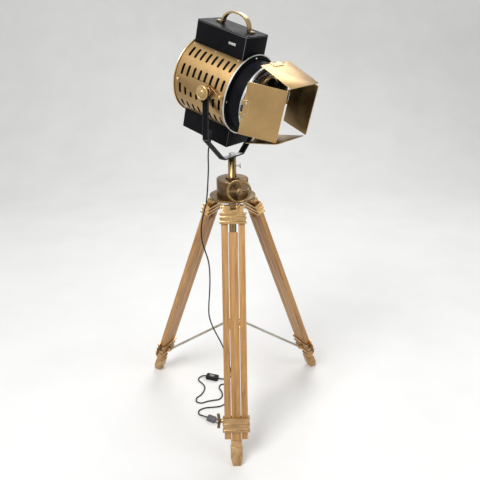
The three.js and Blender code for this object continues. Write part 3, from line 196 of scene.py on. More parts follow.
def tube(name, line, radius):
    # A tube of even thickness round a line of points in metres
    sides = CORD_SIDES
    line = np.array(line, float)
    ahead = np.gradient(line, axis=0)
    ahead /= np.linalg.norm(ahead, axis=1)[:, None]
    normal = np.cross(ahead[0], [0.3, 0.2, 0.93])
    verts, faces = [], []
    for i, (point, tangent) in enumerate(zip(line, ahead)):
        normal = normal - tangent * (normal @ tangent)
        normal /= np.linalg.norm(normal)
        other = np.cross(tangent, normal)
        for k in range(sides):
            angle = 2 * math.pi * k / sides
            verts.append(point + radius * (normal * math.cos(angle) + other * math.sin(angle)))
        if i:
            start = (i - 1) * sides
            faces += band(list(range(start, start + sides)), list(range(start + sides, start + 2 * sides)))
    faces += [tuple(range(sides))[::-1], tuple(range(len(verts) - sides, len(verts)))]
    mesh = bpy.data.meshes.new(name)
    mesh.from_pydata([tuple(v) for v in verts], [], faces)
    return mesh


def rounded(points, radius, closed=False):
    # Each corner of a line replaced by a short curve; a third value rides along
    out = []
    count, steps = len(points), 3
    for i, point in enumerate(points):
        if not closed and i in (0, count - 1):
            out.append(tuple(point))
            continue
        before, after = points[i - 1], points[(i + 1) % count]
        here = np.array(point[:2], float)
        back, ahead = np.array(before[:2], float) - here, np.array(after[:2], float) - here
        cut = min(radius, np.linalg.norm(back) * 0.45, np.linalg.norm(ahead) * 0.45)
        start = here + back / np.linalg.norm(back) * cut
        end = here + ahead / np.linalg.norm(ahead) * cut
        for k in range(steps + 1):
            t = k / steps
            spot = start * (1 - t) ** 2 + 2 * here * t * (1 - t) + end * t ** 2
            share = before[2:] if k < steps / 2 else point[2:]
            out.append((*spot, *share))
    return out


def lathe(name, profile, matrix, materials, body, axis="X", closed=False):
    # A turned piece: points of (radius, along, material of the stretch that follows)
    sides = TURNED_SIDES
    shape = bmesh.new()
    rings = []
    for point in profile:
        radius, along = point[0], point[1]
        count = 1 if radius < 1e-6 else sides
        ring = []
        for k in range(count):
            angle = 2 * math.pi * k / sides
            across, up = radius * math.cos(angle), radius * math.sin(angle)
            ring.append(shape.verts.new((along, across, up) if axis == "X" else (up, along, across)))
        rings.append(ring)
    pairs = list(zip(rings, rings[1:] + rings[:1] if closed else rings[1:]))
    for (low, high), point in zip(pairs, profile):
        for k in range(sides):
            quad = ((low, k), (low, k + 1), (high, k + 1), (high, k))
            corners = list(dict.fromkeys(loop[i % len(loop)] for loop, i in quad))
            if len(corners) > 2:
                shape.faces.new(corners).material_index = point[2] if len(point) > 2 else 0
    piece = from_bmesh(name, shape, matrix, materials[0], body, 30)
    for extra in materials[1:]:
        piece.data.materials.append(extra)
    return piece


def bar(shape, x0, x1, y0, y1, z0, z1, matrix=None, index=0):
    # A block added to a shape that is being made
    made = bmesh.ops.create_cube(shape, size=1)["verts"]
    middle = Matrix.Translation(((x0 + x1) / 2, (y0 + y1) / 2, (z0 + z1) / 2))
    stretch = Matrix.Diagonal((x1 - x0, y1 - y0, z1 - z0, 1))
    bmesh.ops.transform(shape, matrix=(matrix or Matrix()) @ middle @ stretch, verts=made)
    for face in {face for vert in made for face in vert.link_faces}:
        face.material_index = index


def screw_heads(name, seats, radius, height, matrix, body, slot, slotted=True):
    # Small domed heads of screws, nuts or rivets; the outward way of each seat is its Z
    metal_used = steel if slot == "steel" else brass_turned
    shape = bmesh.new()
    around = [2 * math.pi * k / DOME_SIDES for k in range(DOME_SIDES)]
    dome_shares = [(1, 0), (1, 0.45), (0.86, 0.8), (0.5, 0.97), (0.001, 1)]
    for index, seat in enumerate(seats):
        rings = []
        for share, rise in dome_shares:
            flat = [(radius * share * math.cos(a), radius * share * math.sin(a)) for a in around]
            rings.append([seat @ Vector((x, y, height * rise)) for x, y in flat])
        loft(shape, rings)
        # Each slot is a raised near-black bar: painted shade in its groove
        if slotted:
            twist = seat @ turn("Z", 37 * index)
            long, wide = radius * 0.8, radius * 0.13
            bar(shape, -long, long, -wide, wide, height * 0.5, height * 1.03, twist, 1)
    piece = from_bmesh(name, shape, matrix, metal_used, body, 50)
    piece.data.materials.append(shadow)


def seat_at(x, y, z):
    # A place in the millimetres of a shape that is being made
    return Matrix.Translation((x, y, z))


def strap(name, line, thickness, width, matrix, material, body, edge):
    # A flat strap: a line in X and Z, thickened to both sides and drawn across Y
    line = [Vector((x, 0, z)) for x, z in line]
    rows = []
    for i, point in enumerate(line):
        ahead = (line[min(i + 1, len(line) - 1)] - line[max(i - 1, 0)]).normalized()
        side = Vector((-ahead.z, 0, ahead.x)) * thickness / 2
        across = Vector((0, width / 2, 0))
        corners = ((1, 1), (1, -1), (-1, -1), (-1, 1))
        rows.append([point + a * side + b * across for a, b in corners])
    shape = bmesh.new()
    loft(shape, rows)
    return bevel(from_bmesh(name, shape, matrix, material, body, 40), edge, 3, 50)


# Procedural materials
class Graph:
    def __init__(self, name):
        self.material = bpy.data.materials.new(name)
        self.material.use_nodes = True
        self.tree = self.material.node_tree
        self.tree.nodes.clear()
        self.shader = self.add("ShaderNodeBsdfPrincipled")
        output = self.add("ShaderNodeOutputMaterial")
        self.link(self.shader.outputs["BSDF"], output.inputs["Surface"])
        self.coords = self.add("ShaderNodeTexCoord").outputs["Object"]

    def add(self, kind, **values):
        node = self.tree.nodes.new(kind)
        for key, value in values.items():
            setattr(node, key, value)
        return node

    def link(self, a, b):
        self.tree.links.new(a, b)

    def mapped(self, matrix=None, scale=(1, 1, 1)):
        node = self.add("ShaderNodeMapping")
        if matrix is not None:
            node.inputs["Rotation"].default_value = matrix.to_3x3().transposed().to_euler()
        self.link(self.coords, node.inputs["Vector"])
        stretch = self.add("ShaderNodeVectorMath", operation="MULTIPLY")
        self.link(node.outputs["Vector"], stretch.inputs[0])
        stretch.inputs[1].default_value = scale
        return stretch.outputs["Vector"]

    def noise(self, vector, scale, detail=4, roughness=0.55, distortion=0):
        node = self.add("ShaderNodeTexNoise")
        self.link(vector, node.inputs["Vector"])
        node.inputs["Scale"].default_value = scale
        node.inputs["Detail"].default_value = detail
        node.inputs["Roughness"].default_value = roughness
        node.inputs["Distortion"].default_value = distortion
        return node.outputs["Fac"]

    def ramp(self, value, *stops):
        node = self.add("ShaderNodeValToRGB")
        elements = node.color_ramp.elements
        while len(elements) < len(stops):
            elements.new(0.5)
        for element, (position, colour) in zip(elements, stops):
            element.position = position
            element.color = (*colour, 1) if hasattr(colour, "__len__") else (colour,) * 3 + (1,)
        self.link(value, node.inputs["Fac"])
        return node.outputs["Color"]

    def mix(self, factor, a, b):
        # The colour sockets of a mix node are its seventh and eighth, and its third output
        node = self.add("ShaderNodeMix", data_type="RGBA")
        sockets = [node.inputs[0], node.inputs[6], node.inputs[7]]
        for socket, value in zip(sockets, (factor, a, b)):
            if isinstance(value, bpy.types.NodeSocket):
                self.link(value, socket)
            elif hasattr(value, "__len__"):
                socket.default_value = (*value, 1)
            else:
                socket.default_value = value
        return node.outputs[2]

    def bump(self, height, strength, distance):
        node = self.add("ShaderNodeBump")
        node.inputs["Strength"].default_value = strength
        node.inputs["Distance"].default_value = distance
        self.link(height, node.inputs["Height"])
        self.link(node.outputs["Normal"], self.shader.inputs["Normal"])

    def set(self, **values):
        names = {"colour": "Base Color", "rough": "Roughness", "metal": "Metallic"}
        for key, value in values.items():
            socket = self.shader.inputs[names[key]]
            if isinstance(value, bpy.types.NodeSocket):
                self.link(value, socket)
            else:
                socket.default_value = (*value, 1) if hasattr(value, "__len__") else value


def metal(name, base, dark, rough, matrix=None, streak=(1, 1, 1), spots=0.35, grain=0.05, patina=9.0):
    # Brushed metal with clouds of tarnish and dark specks; streak stretches its lines
    g = Graph(name)
    lined = g.mapped(matrix, streak)
    clouds = g.noise(g.mapped(matrix), patina, 5, 0.6, 0.4)
    shade = g.ramp(clouds, (0.34, dark), (0.62, base))
    specks = g.ramp(g.noise(g.mapped(matrix), 70, 6, 0.7), (0.55, 0.0), (0.75, spots))
    colour = g.mix(specks, shade, tuple(c * 0.45 for c in dark))
    lines = g.noise(lined, 60, 3, 0.6)
    colour = g.mix(g.ramp(lines, (0.3, 0.0), (0.8, 0.22)), colour, tuple(min(1, c * 1.25) for c in base))
    g.set(colour=colour, metal=1.0)
    low, high = rough
    g.set(rough=g.ramp(lines, (0.3, low), (0.75, high)))
    g.bump(lines, grain, 0.0006)
    return g.material


def paint(name, base, worn, rough, grain=0.12):
    # Satin paint with faint clouds and scuffs
    g = Graph(name)
    clouds = g.noise(g.coords, 7, 5, 0.6)
    colour = g.ramp(clouds, (0.35, base), (0.7, tuple(c * 1.6 + 0.002 for c in base)))
    scuffs = g.ramp(g.noise(g.coords, 38, 8, 0.75, 0.6), (0.66, 0.0), (0.78, 0.55))
    g.set(colour=g.mix(scuffs, colour, worn), rough=g.ramp(clouds, (0.3, rough[0]), (0.7, rough[1])))
    g.bump(g.noise(g.coords, 420, 2), grain, 0.0004)
    return g.material


def timber(name, matrix):
    # Oiled oak with its grain along the leg
    g = Graph(name)
    along = g.mapped(matrix, (14, 14, 0.9))
    rings = g.noise(along, 6.5, 6, 0.62, 1.1)
    dark, middle, light = (0.19, 0.082, 0.022), (0.37, 0.18, 0.054), (0.53, 0.29, 0.10)
    base = g.ramp(rings, (0.28, dark), (0.46, middle), (0.66, light))
    pores = g.noise(g.mapped(matrix, (60, 60, 1.6)), 22, 4, 0.7)
    colour = g.mix(g.ramp(pores, (0.56, 0.0), (0.68, 0.7)), base, (0.085, 0.036, 0.014))
    broad = g.noise(g.mapped(matrix, (3, 3, 0.6)), 5, 3)
    colour = g.mix(g.ramp(broad, (0.35, 0.0), (0.7, 0.4)), colour, (0.58, 0.32, 0.115))
    g.set(colour=colour, rough=g.ramp(pores, (0.4, 0.36), (0.7, 0.6)), metal=0.0)
    g.bump(g.mix(0.5, rings, pores), 0.18, 0.0006)
    return g.material


def plain(name, colour, rough, scale=300, grain=0.1):
    # Moulded or glazed stuff with a fine grain
    g = Graph(name)
    fine = g.noise(g.coords, scale, 4)
    wide = g.noise(g.coords, 12, 3)
    dark, light = tuple(c * 0.8 for c in colour), tuple(min(1, c * 1.15) for c in colour)
    g.set(colour=g.ramp(wide, (0.3, dark), (0.7, light)), metal=0.0)
    g.set(rough=g.ramp(wide, (0.3, rough * 0.85), (0.7, min(1, rough * 1.2))))
    g.bump(fine, grain, 0.0004)
    return g.material


def clear(name, tint, rough):
    # Clear glass with a light haze
    g = Graph(name)
    haze = g.noise(g.coords, 26, 4)
    g.set(colour=g.ramp(haze, (0.2, tint), (0.8, tuple(c * 0.97 for c in tint))))
    g.set(rough=g.ramp(haze, (0.3, rough), (0.8, rough * 2.5)))
    g.shader.inputs["Transmission Weight"].default_value = 1.0
    g.shader.inputs["IOR"].default_value = 1.5
    g.bump(g.noise(g.coords, 60, 2), 0.02, 0.0004)
    return g.material


def dull(material, specular, ior=None):
    # Weaker reflections than the shader has by itself
    shader = material.node_tree.nodes["Principled BSDF"]
    shader.inputs["Specular IOR Level"].default_value = specular
    if ior:
        shader.inputs["IOR"].default_value = ior
    return material


# Each metal: its colour, its tarnish, and the range of its roughness
brass_head = metal(
    "brass_head", (0.44, 0.285, 0.125), (0.32, 0.20, 0.085), (0.28, 0.4),
    matrix=HEAD, streak=(1.5, 22, 22), spots=0.12, grain=0.03, patina=5,
)
brass_turned = metal(
    "brass_turned", (0.62, 0.44, 0.21), (0.42, 0.28, 0.12), (0.2, 0.32), spots=0.12, streak=(9, 9, 9),
)
# Pale brass for bevels and rims: painted highlight where the edges catch the light
brass_edge = metal(
    "painted_highlight_brass_edge", (0.80, 0.64, 0.38), (0.62, 0.46, 0.24), (0.14, 0.24), spots=0.05, patina=14,
)
aged = metal(
    "aged_brass", (0.25, 0.155, 0.075), (0.085, 0.052, 0.027), (0.26, 0.42),
    streak=(6, 6, 22), spots=0.4, grain=0.07, patina=16,
)
copper = metal(
    "copper_brass", (0.60, 0.39, 0.18), (0.33, 0.19, 0.08), (0.14, 0.26),
    streak=(20, 20, 4), spots=0.25, patina=20,
)
foot_brass = metal(
    "foot_brass", (0.52, 0.33, 0.16), (0.28, 0.165, 0.08), (0.18, 0.34),
    streak=(12, 12, 6), spots=0.35, patina=22,
)
rod_metal = metal(
    "dull_nickel_rod", (0.46, 0.42, 0.36), (0.30, 0.27, 0.22), (0.26, 0.4),
    streak=(20, 20, 4), spots=0.3, patina=18,
)
steel = metal(
    "turned_steel", (0.55, 0.55, 0.54), (0.34, 0.33, 0.32), (0.2, 0.34), streak=(4, 4, 30), spots=0.15,
)
# Pale silver for the ring's rim, the barrel's front and the barrel's bevels: painted highlight
silver = metal(
    "painted_highlight_silver", (0.64, 0.64, 0.62), (0.45, 0.45, 0.44), (0.24, 0.36),
    matrix=HEAD, streak=(30, 3, 3), spots=0.1,
)
gunmetal = metal(
    "gunmetal", (0.07, 0.072, 0.075), (0.035, 0.036, 0.038), (0.22, 0.34),
    matrix=HEAD, streak=(30, 3, 3), spots=0.1,
)
handle_brass = metal(
    "handle_brass", (0.46, 0.34, 0.16), (0.22, 0.155, 0.07), (0.2, 0.34),
    matrix=HEAD, streak=(12, 12, 12), spots=0.2,
)
column_brass = metal(
    "column_brass", (0.31, 0.225, 0.095), (0.18, 0.125, 0.055), (0.22, 0.34),
    streak=(6, 6, 22), spots=0.25,
)
black = dull(paint("black_satin", (0.005, 0.005, 0.006), (0.018, 0.0175, 0.017), (0.36, 0.5)), 0.4, 1.12)
# Grey with scuffs for the bevels of black parts: painted highlight on their edges
black_edge_highlight = paint("painted_highlight_black_edge", (0.10, 0.10, 0.098), (0.24, 0.235, 0.22), (0.3, 0.42))
# Near-black for the drum's inside, the sheet behind the slots and the slots of screws: painted shade
shadow = paint("painted_shade_inside", (0.004, 0.004, 0.004), (0.007, 0.006, 0.005), (0.8, 0.95), 0.05)
porcelain = plain("porcelain", (0.72, 0.69, 0.62), 0.22, grain=0.02)
rubber = dull(plain("black_rubber", (0.010, 0.010, 0.011), 0.55, 500, 0.2), 0.25)
plastic = plain("grey_plastic", (0.22, 0.22, 0.22), 0.4, 400, 0.1)
plug_grey = plain("plug_grey", (0.10, 0.10, 0.105), 0.42, 400, 0.1)
glass = clear("clear_glass", (0.93, 0.97, 0.97), 0.02)
woods = {name: timber(f"oak_{name}_leg", matrix) for name, matrix in LEGS.items()}


# CAD nodes that stay: material, and a fine rounded edge; an edge material, where given, colours the bevel
# lighter as a painted highlight
def dress(name, material, width=0.6, segments=2, edge=None):
    node = nodes[name]
    node.data.materials.clear()
    node.data.materials.append(material)
    weld = node.modifiers.new("weld", "WELD")
    weld.merge_threshold = 2e-6
    smooth(node.data, 32)
    if width:
        bevel(node, width, segments)
    if edge:
        node.data.materials.append(edge)
        node.modifiers["bevel"].material = 1


# Dark aged brass whose bevels are lighter brass as painted highlight
for name in ("tripod_crown", "gear_housing", "handwheel", "wheel_grip"):
    dress(name, aged, 0.9, 3, edge=brass_turned)
dress("column", column_brass, 0)
dress("upper_column_bush", aged, 0.5)
for name in ("lower_column_bush", "spreader_hub"):
    dress(name, brass_turned, 0.5)
# Side plates with pale brass bevels: painted highlight on their edges
for name in ("left_side_plate", "right_side_plate"):
    dress(name, brass_head, 1.0, 3, edge=brass_edge)
# Leaves with pale brass bevels: painted highlight on their edges
for name in DOOR_INWARD:
    dress(f"{name}_barn_door", brass_head, 0.5, 2, edge=brass_edge)
for name in ("pinion_shaft", "swivel_lock_screw", "swivel_bolt", "reflector"):
    dress(name, steel, 0.4)
# Black parts whose bevels are grey as painted highlight
for name in ("yoke", "vent_box", "vent_box_lid", "lamp_box"):
    dress(name, black, 0.9, 3, edge=black_edge_highlight)
# Gunmetal barrel whose bevels are silver as painted highlight
dress("lens_barrel", gunmetal, 0.5, 2, edge=silver)
dress("lens", glass, 0)
dress("bulb", glass, 0)
dress("lamp_socket", porcelain, 0.6)
for name in ("cord_strain_relief", "inline_switch"):
    dress(name, rubber, 0.8, 3)
dress("mains_plug", plug_grey, 0.8, 3)
dress("switch_rocker", plastic, 0.5)
for name in LEGS:
    # Brackets, clamps and feet whose bevels are lighter brass as painted highlight
    dress(f"{name}_leg_bracket", copper, 1.0, 3, edge=brass_turned)
    dress(f"{name}_leg_clamp", foot_brass, 1.4, 3, edge=brass_turned)
    dress(f"{name}_foot", foot_brass, 1.5, 3, edge=brass_turned)
    dress(f"{name}_wing_screw", aged, 1.2, 3)
    dress(f"{name}_leg_rails", woods[name], 1.2, 3)
    dress(f"{name}_leg_strip", woods[name], 1.2, 3)
    dress(f"{name}_spreader_arm", rod_metal, 0.5)

# Sizes of the lamp head that its smooth pieces follow; lengths along the drum start at the pivot
DRUM_RADIUS, DRUM_WALL, DRUM_REAR, DRUM_FRONT = 130, 2, -139, 81
BOX_HALF, BOX_FRONT, LID_TOP = 58.6, 70.7, 189
SLOT_FIRST, SLOT_PITCH, SLOT_COLUMNS, SLOT_WIDE = -114, 25, 8, 9.8
SLOT_ANGLE, SLOT_ROW, SLOT_ROWS, SLOT_SPAN = 44.5, 28.5, 4, 16.5
# The near-black sheet of painted shade behind the slots: radius, wall, inset at each end, and angles
SHADE_SHEET_RADIUS, SHADE_SHEET_WALL, SHADE_SHEET_INSET, SHADE_SHEET_LOW, SHADE_SHEET_HIGH = 113, 1, 2, 34, 146
RING_RADIUS, RING_BORE, RING_FLANGE, RING_SPIGOT_PLAY = 135, 110, 5, 1.8
BARREL_RADIUS, BARREL_END, BARREL_BEAD = 117, 150, 4.4
SKIN_REAR, SKIN_JOIN, SKIN_GAP, SKIN_DEPTH, SKIN_RISE = 87, 134.6, 0.4, 0.2, 0.5
HANDLE_REAR, HANDLE_FRONT, HANDLE_FEET = -77, 31, (-100, 50)
HANDLE_HEIGHT, HANDLE_THICKNESS, HANDLE_WIDTH = 49, 6, 18
HANDLE_REACH, HANDLE_CROWN_SHARE = 50, 0.86
# Turned profiles: a radius, and a distance behind the cover's plate or above the knob's seat
COVER_RADIUS, COVER_PLATE, COVER_RIM = 134.5, 2.5, 5
COVER_PROFILE = ((127, 0), (109, 0), (104, 5), (84, 5), (81, 3.6), (78, 5), (40, 5), (30, 12), (0, 12))
KNOB_SEAT = 143.3
KNOB_PROFILE = (
    (0, 15), (5.35, 15), (5.35, 0), (12, 0), (12, 2.5), (10.2, 3.5), (10.2, 8.5), (12.5, 10), (22.5, 10),
    (24, 11.5), (24, 16.5), (22, 18.6), (19.2, 18.6), (18.4, 17.8), (9.5, 18.4), (8.5, 20.8), (6, 22.2),
    (0, 22.6),
)


def along_arc(degrees):
    # Length on the drum's outside for an angle at its axis
    return math.radians(degrees) * DRUM_RADIUS


def slot_outline():
    # One slot's edge and the edge of the cell round it, point for point: six down a side, twelve round an end
    wide, half = SLOT_WIDE / 2, along_arc(SLOT_SPAN) / 2
    across, up = SLOT_PITCH / 2, along_arc(SLOT_ROW) / 2
    straight = half - wide
    edge, cell = [], []
    for side in (1, -1):
        for k in range(6):
            level = side * straight * (k / 3 - 1)
            edge.append((side * wide, level))
            cell.append((side * across, level))
        for k in range(12):
            angle = math.pi * k / 12
            edge.append((side * wide * math.cos(angle), side * (straight + wide * math.sin(angle))))
            rise = min(k, 3, 12 - k) / 3
            share = 1 - (min(max(k, 3), 9) - 3) / 3
            cell.append((side * across * share, side * (straight + (up - straight) * rise)))
    return edge, cell


def slotted_sheet():
    # The sheet of a shell laid flat: its corners, along the drum and along the arc, and its faces
    start = along_arc(math.degrees(math.asin((BOX_HALF + SEAT) / (DRUM_RADIUS - DRUM_WALL))))
    end = along_arc(180) - start
    edge, cell = slot_outline()
    corners, faces = {}, []

    def corner(x, s):
        return corners.setdefault((round(x, 3), round(s, 3)), len(corners))

    def grid(xs, ss):
        for x0, x1 in zip(xs, xs[1:]):
            for s0, s1 in zip(ss, ss[1:]):
                faces.append((corner(x0, s0), corner(x1, s0), corner(x1, s1), corner(x0, s1)))

    places = [SLOT_FIRST + column * SLOT_PITCH for column in range(SLOT_COLUMNS)]
    levels = [along_arc(SLOT_ANGLE + row * SLOT_ROW) for row in range(SLOT_ROWS)]
    for x in places:
        for s in levels:
            loops = []
            for t in (0, 0.4, 1):
                loops.append([
                    corner(x + a * (1 - t) + c * t, s + b * (1 - t) + d * t)
                    for (a, b), (c, d) in zip(edge, cell)
                ])
            for low, high in zip(loops, loops[1:]):
                faces += band(low, high)
    across = {round(x, 6) for x, s in cell}
    upward = {round(s, 6) for x, s in cell}
    xs = sorted({round(place + step, 3) for place in places for step in across})
    ss = sorted({round(level + step, 3) for level in levels for step in upward})
    grid([DRUM_REAR, *xs, DRUM_FRONT], [start, ss[0]])
    grid([DRUM_REAR, *xs, DRUM_FRONT], [ss[-1] + (end - ss[-1]) * k / 4 for k in range(5)])
    grid([DRUM_REAR, xs[0]], ss)
    grid([xs[-1], DRUM_FRONT], ss)
    return list(corners), faces


def open_edges(faces):
    # The edges of one face only, which bound the sheet and its slots
    uses = {}
    for face in faces:
        for a, b in zip(face, face[1:] + face[:1]):
            uses.setdefault(frozenset((a, b)), []).append((a, b))
    return [pairs[0] for pairs in uses.values() if len(pairs) == 1]


def drum_shell(name, side):
    # Half of the drum: the sheet rolled round the axis, with rims and an inside in near-black painted shade
    sheet, faces = slotted_sheet()
    shape = bmesh.new()
    made = []
    for radius in (DRUM_RADIUS, DRUM_RADIUS - DRUM_WALL):
        for x, s in sheet:
            angle = s / DRUM_RADIUS
            made.append(shape.verts.new((x, side * radius * math.sin(angle), radius * math.cos(angle))))
    count = len(sheet)
    insides = [tuple(v + count for v in face[::-1]) for face in faces]
    rims = [(a, b, b + count, a + count) for a, b in open_edges(faces)]
    for group, index in ((faces, 0), (insides, 1), (rims, 0)):
        for face in group:
            shape.faces.new([made[v] for v in face]).material_index = index
    piece = from_bmesh(f"{name}_rolled", shape, HEAD, brass_head, "lamp_head", 40)
    piece.data.materials.append(shadow)
    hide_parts(name)


def slot_shade_sheet(name, side):
    # A near-black sheet behind the slots: painted shade seen through them
    rear, front = DRUM_REAR + SHADE_SHEET_INSET, BOX_FRONT - SHADE_SHEET_INSET
    outer, inner = SHADE_SHEET_RADIUS, SHADE_SHEET_RADIUS - SHADE_SHEET_WALL
    section = ((rear, outer), (front, outer), (front, inner), (rear, inner))
    rows = []
    for degrees in np.linspace(SHADE_SHEET_LOW, SHADE_SHEET_HIGH, 41):
        angle = math.radians(degrees)
        across, up = side * math.sin(angle), math.cos(angle)
        rows.append([(x, across * radius, up * radius) for x, radius in section])
    shape = bmesh.new()
    loft(shape, rows)
    from_bmesh(name, shape, HEAD, shadow, "lamp_head")


def front_ring():
    # A spigot inside the drum and a flange before it, with a silver rim round a shallow groove: painted
    # highlight on the rounded edge
    rear, flange = BOX_FRONT + SEAT, DRUM_FRONT + SEAT
    spigot, face = DRUM_RADIUS - DRUM_WALL - RING_SPIGOT_PLAY, flange + RING_FLANGE
    profile = [
        (RING_BORE, rear, 0), (spigot, rear, 0), (spigot, flange, 1),
        (RING_RADIUS - 0.6, flange, 1), (RING_RADIUS, flange + 0.6, 1), (RING_RADIUS, face - 0.7, 1),
        (RING_RADIUS - 0.7, face, 1), (RING_RADIUS - 3.2, face, 1), (RING_RADIUS - 3.6, face - 0.6, 0),
        (RING_RADIUS - 8, face - 0.8, 0), (RING_RADIUS - 9, face, 0), (RING_BORE, face, 0),
    ]
    looks = (black, silver)
    piece = lathe("front_ring_turned", profile, HEAD, looks, "lamp_head", closed=True)
    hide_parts("front_ring")


def barrel_skin(name, low, high, material):
    # Thin smooth skin over the barrel
    inner, outer = BARREL_RADIUS - SKIN_DEPTH, BARREL_RADIUS + SKIN_RISE
    profile = rounded([(inner, low), (outer, low), (outer, high), (inner, high)], 0.3, closed=True)
    lathe(name, profile, HEAD, (material,), "lamp_head", closed=True)


def rear_cover():
    # A spun plate with a rolled rim in pale brass, a painted highlight
    front = DRUM_REAR - SEAT
    back, rim_back = front - COVER_PLATE, front - COVER_RIM
    rim = [
        (0, front, 0), (COVER_RADIUS - 1.3, front, 1), (COVER_RADIUS, back, 1),
        (COVER_RADIUS, rim_back + 1.2, 1), (COVER_RADIUS - 5, rim_back, 1),
    ]
    profile = rounded(rim + [(radius, back - depth, 0) for radius, depth in COVER_PROFILE], 1.2)
    piece = lathe("rear_cover_spun", profile, HEAD, (brass_head, brass_edge), "lamp_head")
    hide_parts("rear_cover")


def tilt_knob(name, side):
    # A blind nut on the stud of the side plate
    profile = rounded([(radius, KNOB_SEAT + rise) for radius, rise in KNOB_PROFILE], 1.0)
    facing = TILT if side > 0 else TILT @ turn("Z", 180)
    body = name.replace("_tilt", "")
    piece = lathe(f"{name}_turned", profile, facing, (brass_turned,), body, "Y")
    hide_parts(name)


def handle():
    # A strap in the plane of the drum's axis: foot, crown of two quarter arcs, foot
    half, reach, steps = HANDLE_THICKNESS / 2, HANDLE_REACH, 24
    low, high = LID_TOP + SEAT + half, LID_TOP + HANDLE_HEIGHT - half
    crown = (high - low) * HANDLE_CROWN_SHARE
    rear_arc = [(HANDLE_REAR + reach, math.pi * (1 - k / steps / 2)) for k in range(steps + 1)]
    front_arc = [(HANDLE_FRONT - reach, math.pi / 2 * (1 - k / steps)) for k in range(1, steps + 1)]
    line = [(HANDLE_FEET[0], low), (HANDLE_REAR, low)]
    for middle, angle in rear_arc + front_arc:
        line.append((middle + reach * math.cos(angle), high - crown + crown * math.sin(angle)))
    line += [(HANDLE_FRONT, low), (HANDLE_FEET[1], low)]
    soft = rounded(line[:3], 5)[:-1] + line[2:-2] + rounded(line[-3:], 5)[1:]
    piece = strap(
        "carrying_handle_strap", soft, HANDLE_THICKNESS, HANDLE_WIDTH,
        HEAD, handle_brass, "lamp_head", 1.6,
    )
    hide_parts("carrying_handle")


for hand, side in SIDES.items():
    drum_shell(f"{hand}_drum_shell", side)
    slot_shade_sheet(f"{hand}_slot_shade_sheet", side)
    tilt_knob(f"{hand}_tilt_knob", side)
front_ring()
rear_cover()
handle()
barrel_skin("barrel_black_skin", SKIN_REAR, SKIN_JOIN, black)
# Silver band over the barrel's front: painted highlight
barrel_skin("barrel_highlight_skin", SKIN_JOIN + SKIN_GAP, BARREL_END - BARREL_BEAD, silver)

# Screws of the head: the faces that carry them, the circles or places they sit at, and their sizes
RING_FACE, RING_SCREW_RADIUS = DRUM_FRONT + SEAT + RING_FLANGE, 122
COVER_FACE, COVER_SCREW_RADIUS = DRUM_REAR - SEAT - COVER_PLATE, 118
FOOT_TOP = LID_TOP + SEAT + HANDLE_THICKNESS
PLATE_FACE = 135.2
ring_seats = [
    turn("X", 3 + 90 * i) @ seat_at(RING_FACE, 0, RING_SCREW_RADIUS) @ turn("Y", 90) for i in range(4)
]
cover_seats = [
    turn("X", 30 + 60 * i) @ seat_at(COVER_FACE, 0, COVER_SCREW_RADIUS) @ turn("Y", -90) for i in range(6)
]
foot_seats = [seat_at(x, 0, FOOT_TOP) for x in (-90, 42)]
drum_seats = [
    turn("X", side * 30) @ seat_at(x, 0, DRUM_RADIUS) for side in SIDES.values() for x in (-130, -36, 60)
]
for name, seats, radius, height in (
    ("ring_screws", ring_seats, 4, 2.6),
    ("rear_cover_screws", cover_seats, 3.2, 1.8),
    ("handle_screws", foot_seats, 4, 2),
    ("drum_screws", drum_seats, 2.8, 1.6),
):
    screw_heads(name, seats, radius, height, HEAD, "lamp_head", "steel")

# Nuts of the side plates, and latches of the vent box: rear, front, how far out, low and high of a bar
LATCH_BARS = ((5, 34, 1.6, 149.5, 157.5), (12, 27, 3.2, 151.5, 155.5))
for hand, side in SIDES.items():
    seats = [seat_at(x, side * PLATE_FACE, 0) @ turn("X", -90 * side) for x in (-130, 56)]
    screw_heads(f"{hand}_side_plate_nuts", seats, 6.2, 6.5, TILT, "lamp_head", "brass", False)
    shape = bmesh.new()
    for rear, front, rise, low, high in LATCH_BARS:
        bar(shape, rear, front, side * BOX_HALF, side * (BOX_HALF + rise), low, high)
    bevel(from_bmesh(f"{hand}_box_latch", shape, HEAD, steel, "lamp_head"), 0.5)

# Hinge plates and rivets of the leaves
HINGE_PLATE_FROM, HINGE_PLATE_TO, HINGE_PLATE_HALF = 5, 21.6, 26
LEAF_FACE, HINGE_PLATE_FACE = 4.8, 5.4
for name, matrix in DOORS.items():
    shape = bmesh.new()
    low, high = -HINGE_PLATE_HALF, HINGE_PLATE_HALF
    bar(shape, HINGE_PLATE_FROM, HINGE_PLATE_TO, low, high, LEAF_FACE, HINGE_PLATE_FACE)
    bevel(from_bmesh(f"{name}_hinge_plate", shape, matrix, brass_head, f"{name}_door"), 0.25)
    seats = [seat_at(13, y, HINGE_PLATE_FACE) for y in (-18, 18)]
    screw_heads(f"{name}_hinge_rivets", seats, 3, 1.5, matrix, f"{name}_door", "steel", False)

# Bright steel plate over the yoke's flat, under the bolt's head
YOKE_THICKNESS, YOKE_PLATE_HALF_WIDE, YOKE_PLATE_HALF_LONG, YOKE_PLATE_RISE = 5, 11.6, 50, 0.28
yoke_low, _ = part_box("yoke")
flat_top = (yoke_low.z / MM) + YOKE_THICKNESS
shape = bmesh.new()
bar(
    shape, -YOKE_PLATE_HALF_WIDE, YOKE_PLATE_HALF_WIDE, -YOKE_PLATE_HALF_LONG, YOKE_PLATE_HALF_LONG, flat_top, flat_top + YOKE_PLATE_RISE,
)
from_bmesh("yoke_bright_plate", shape, SWIVEL, steel, "yoke")

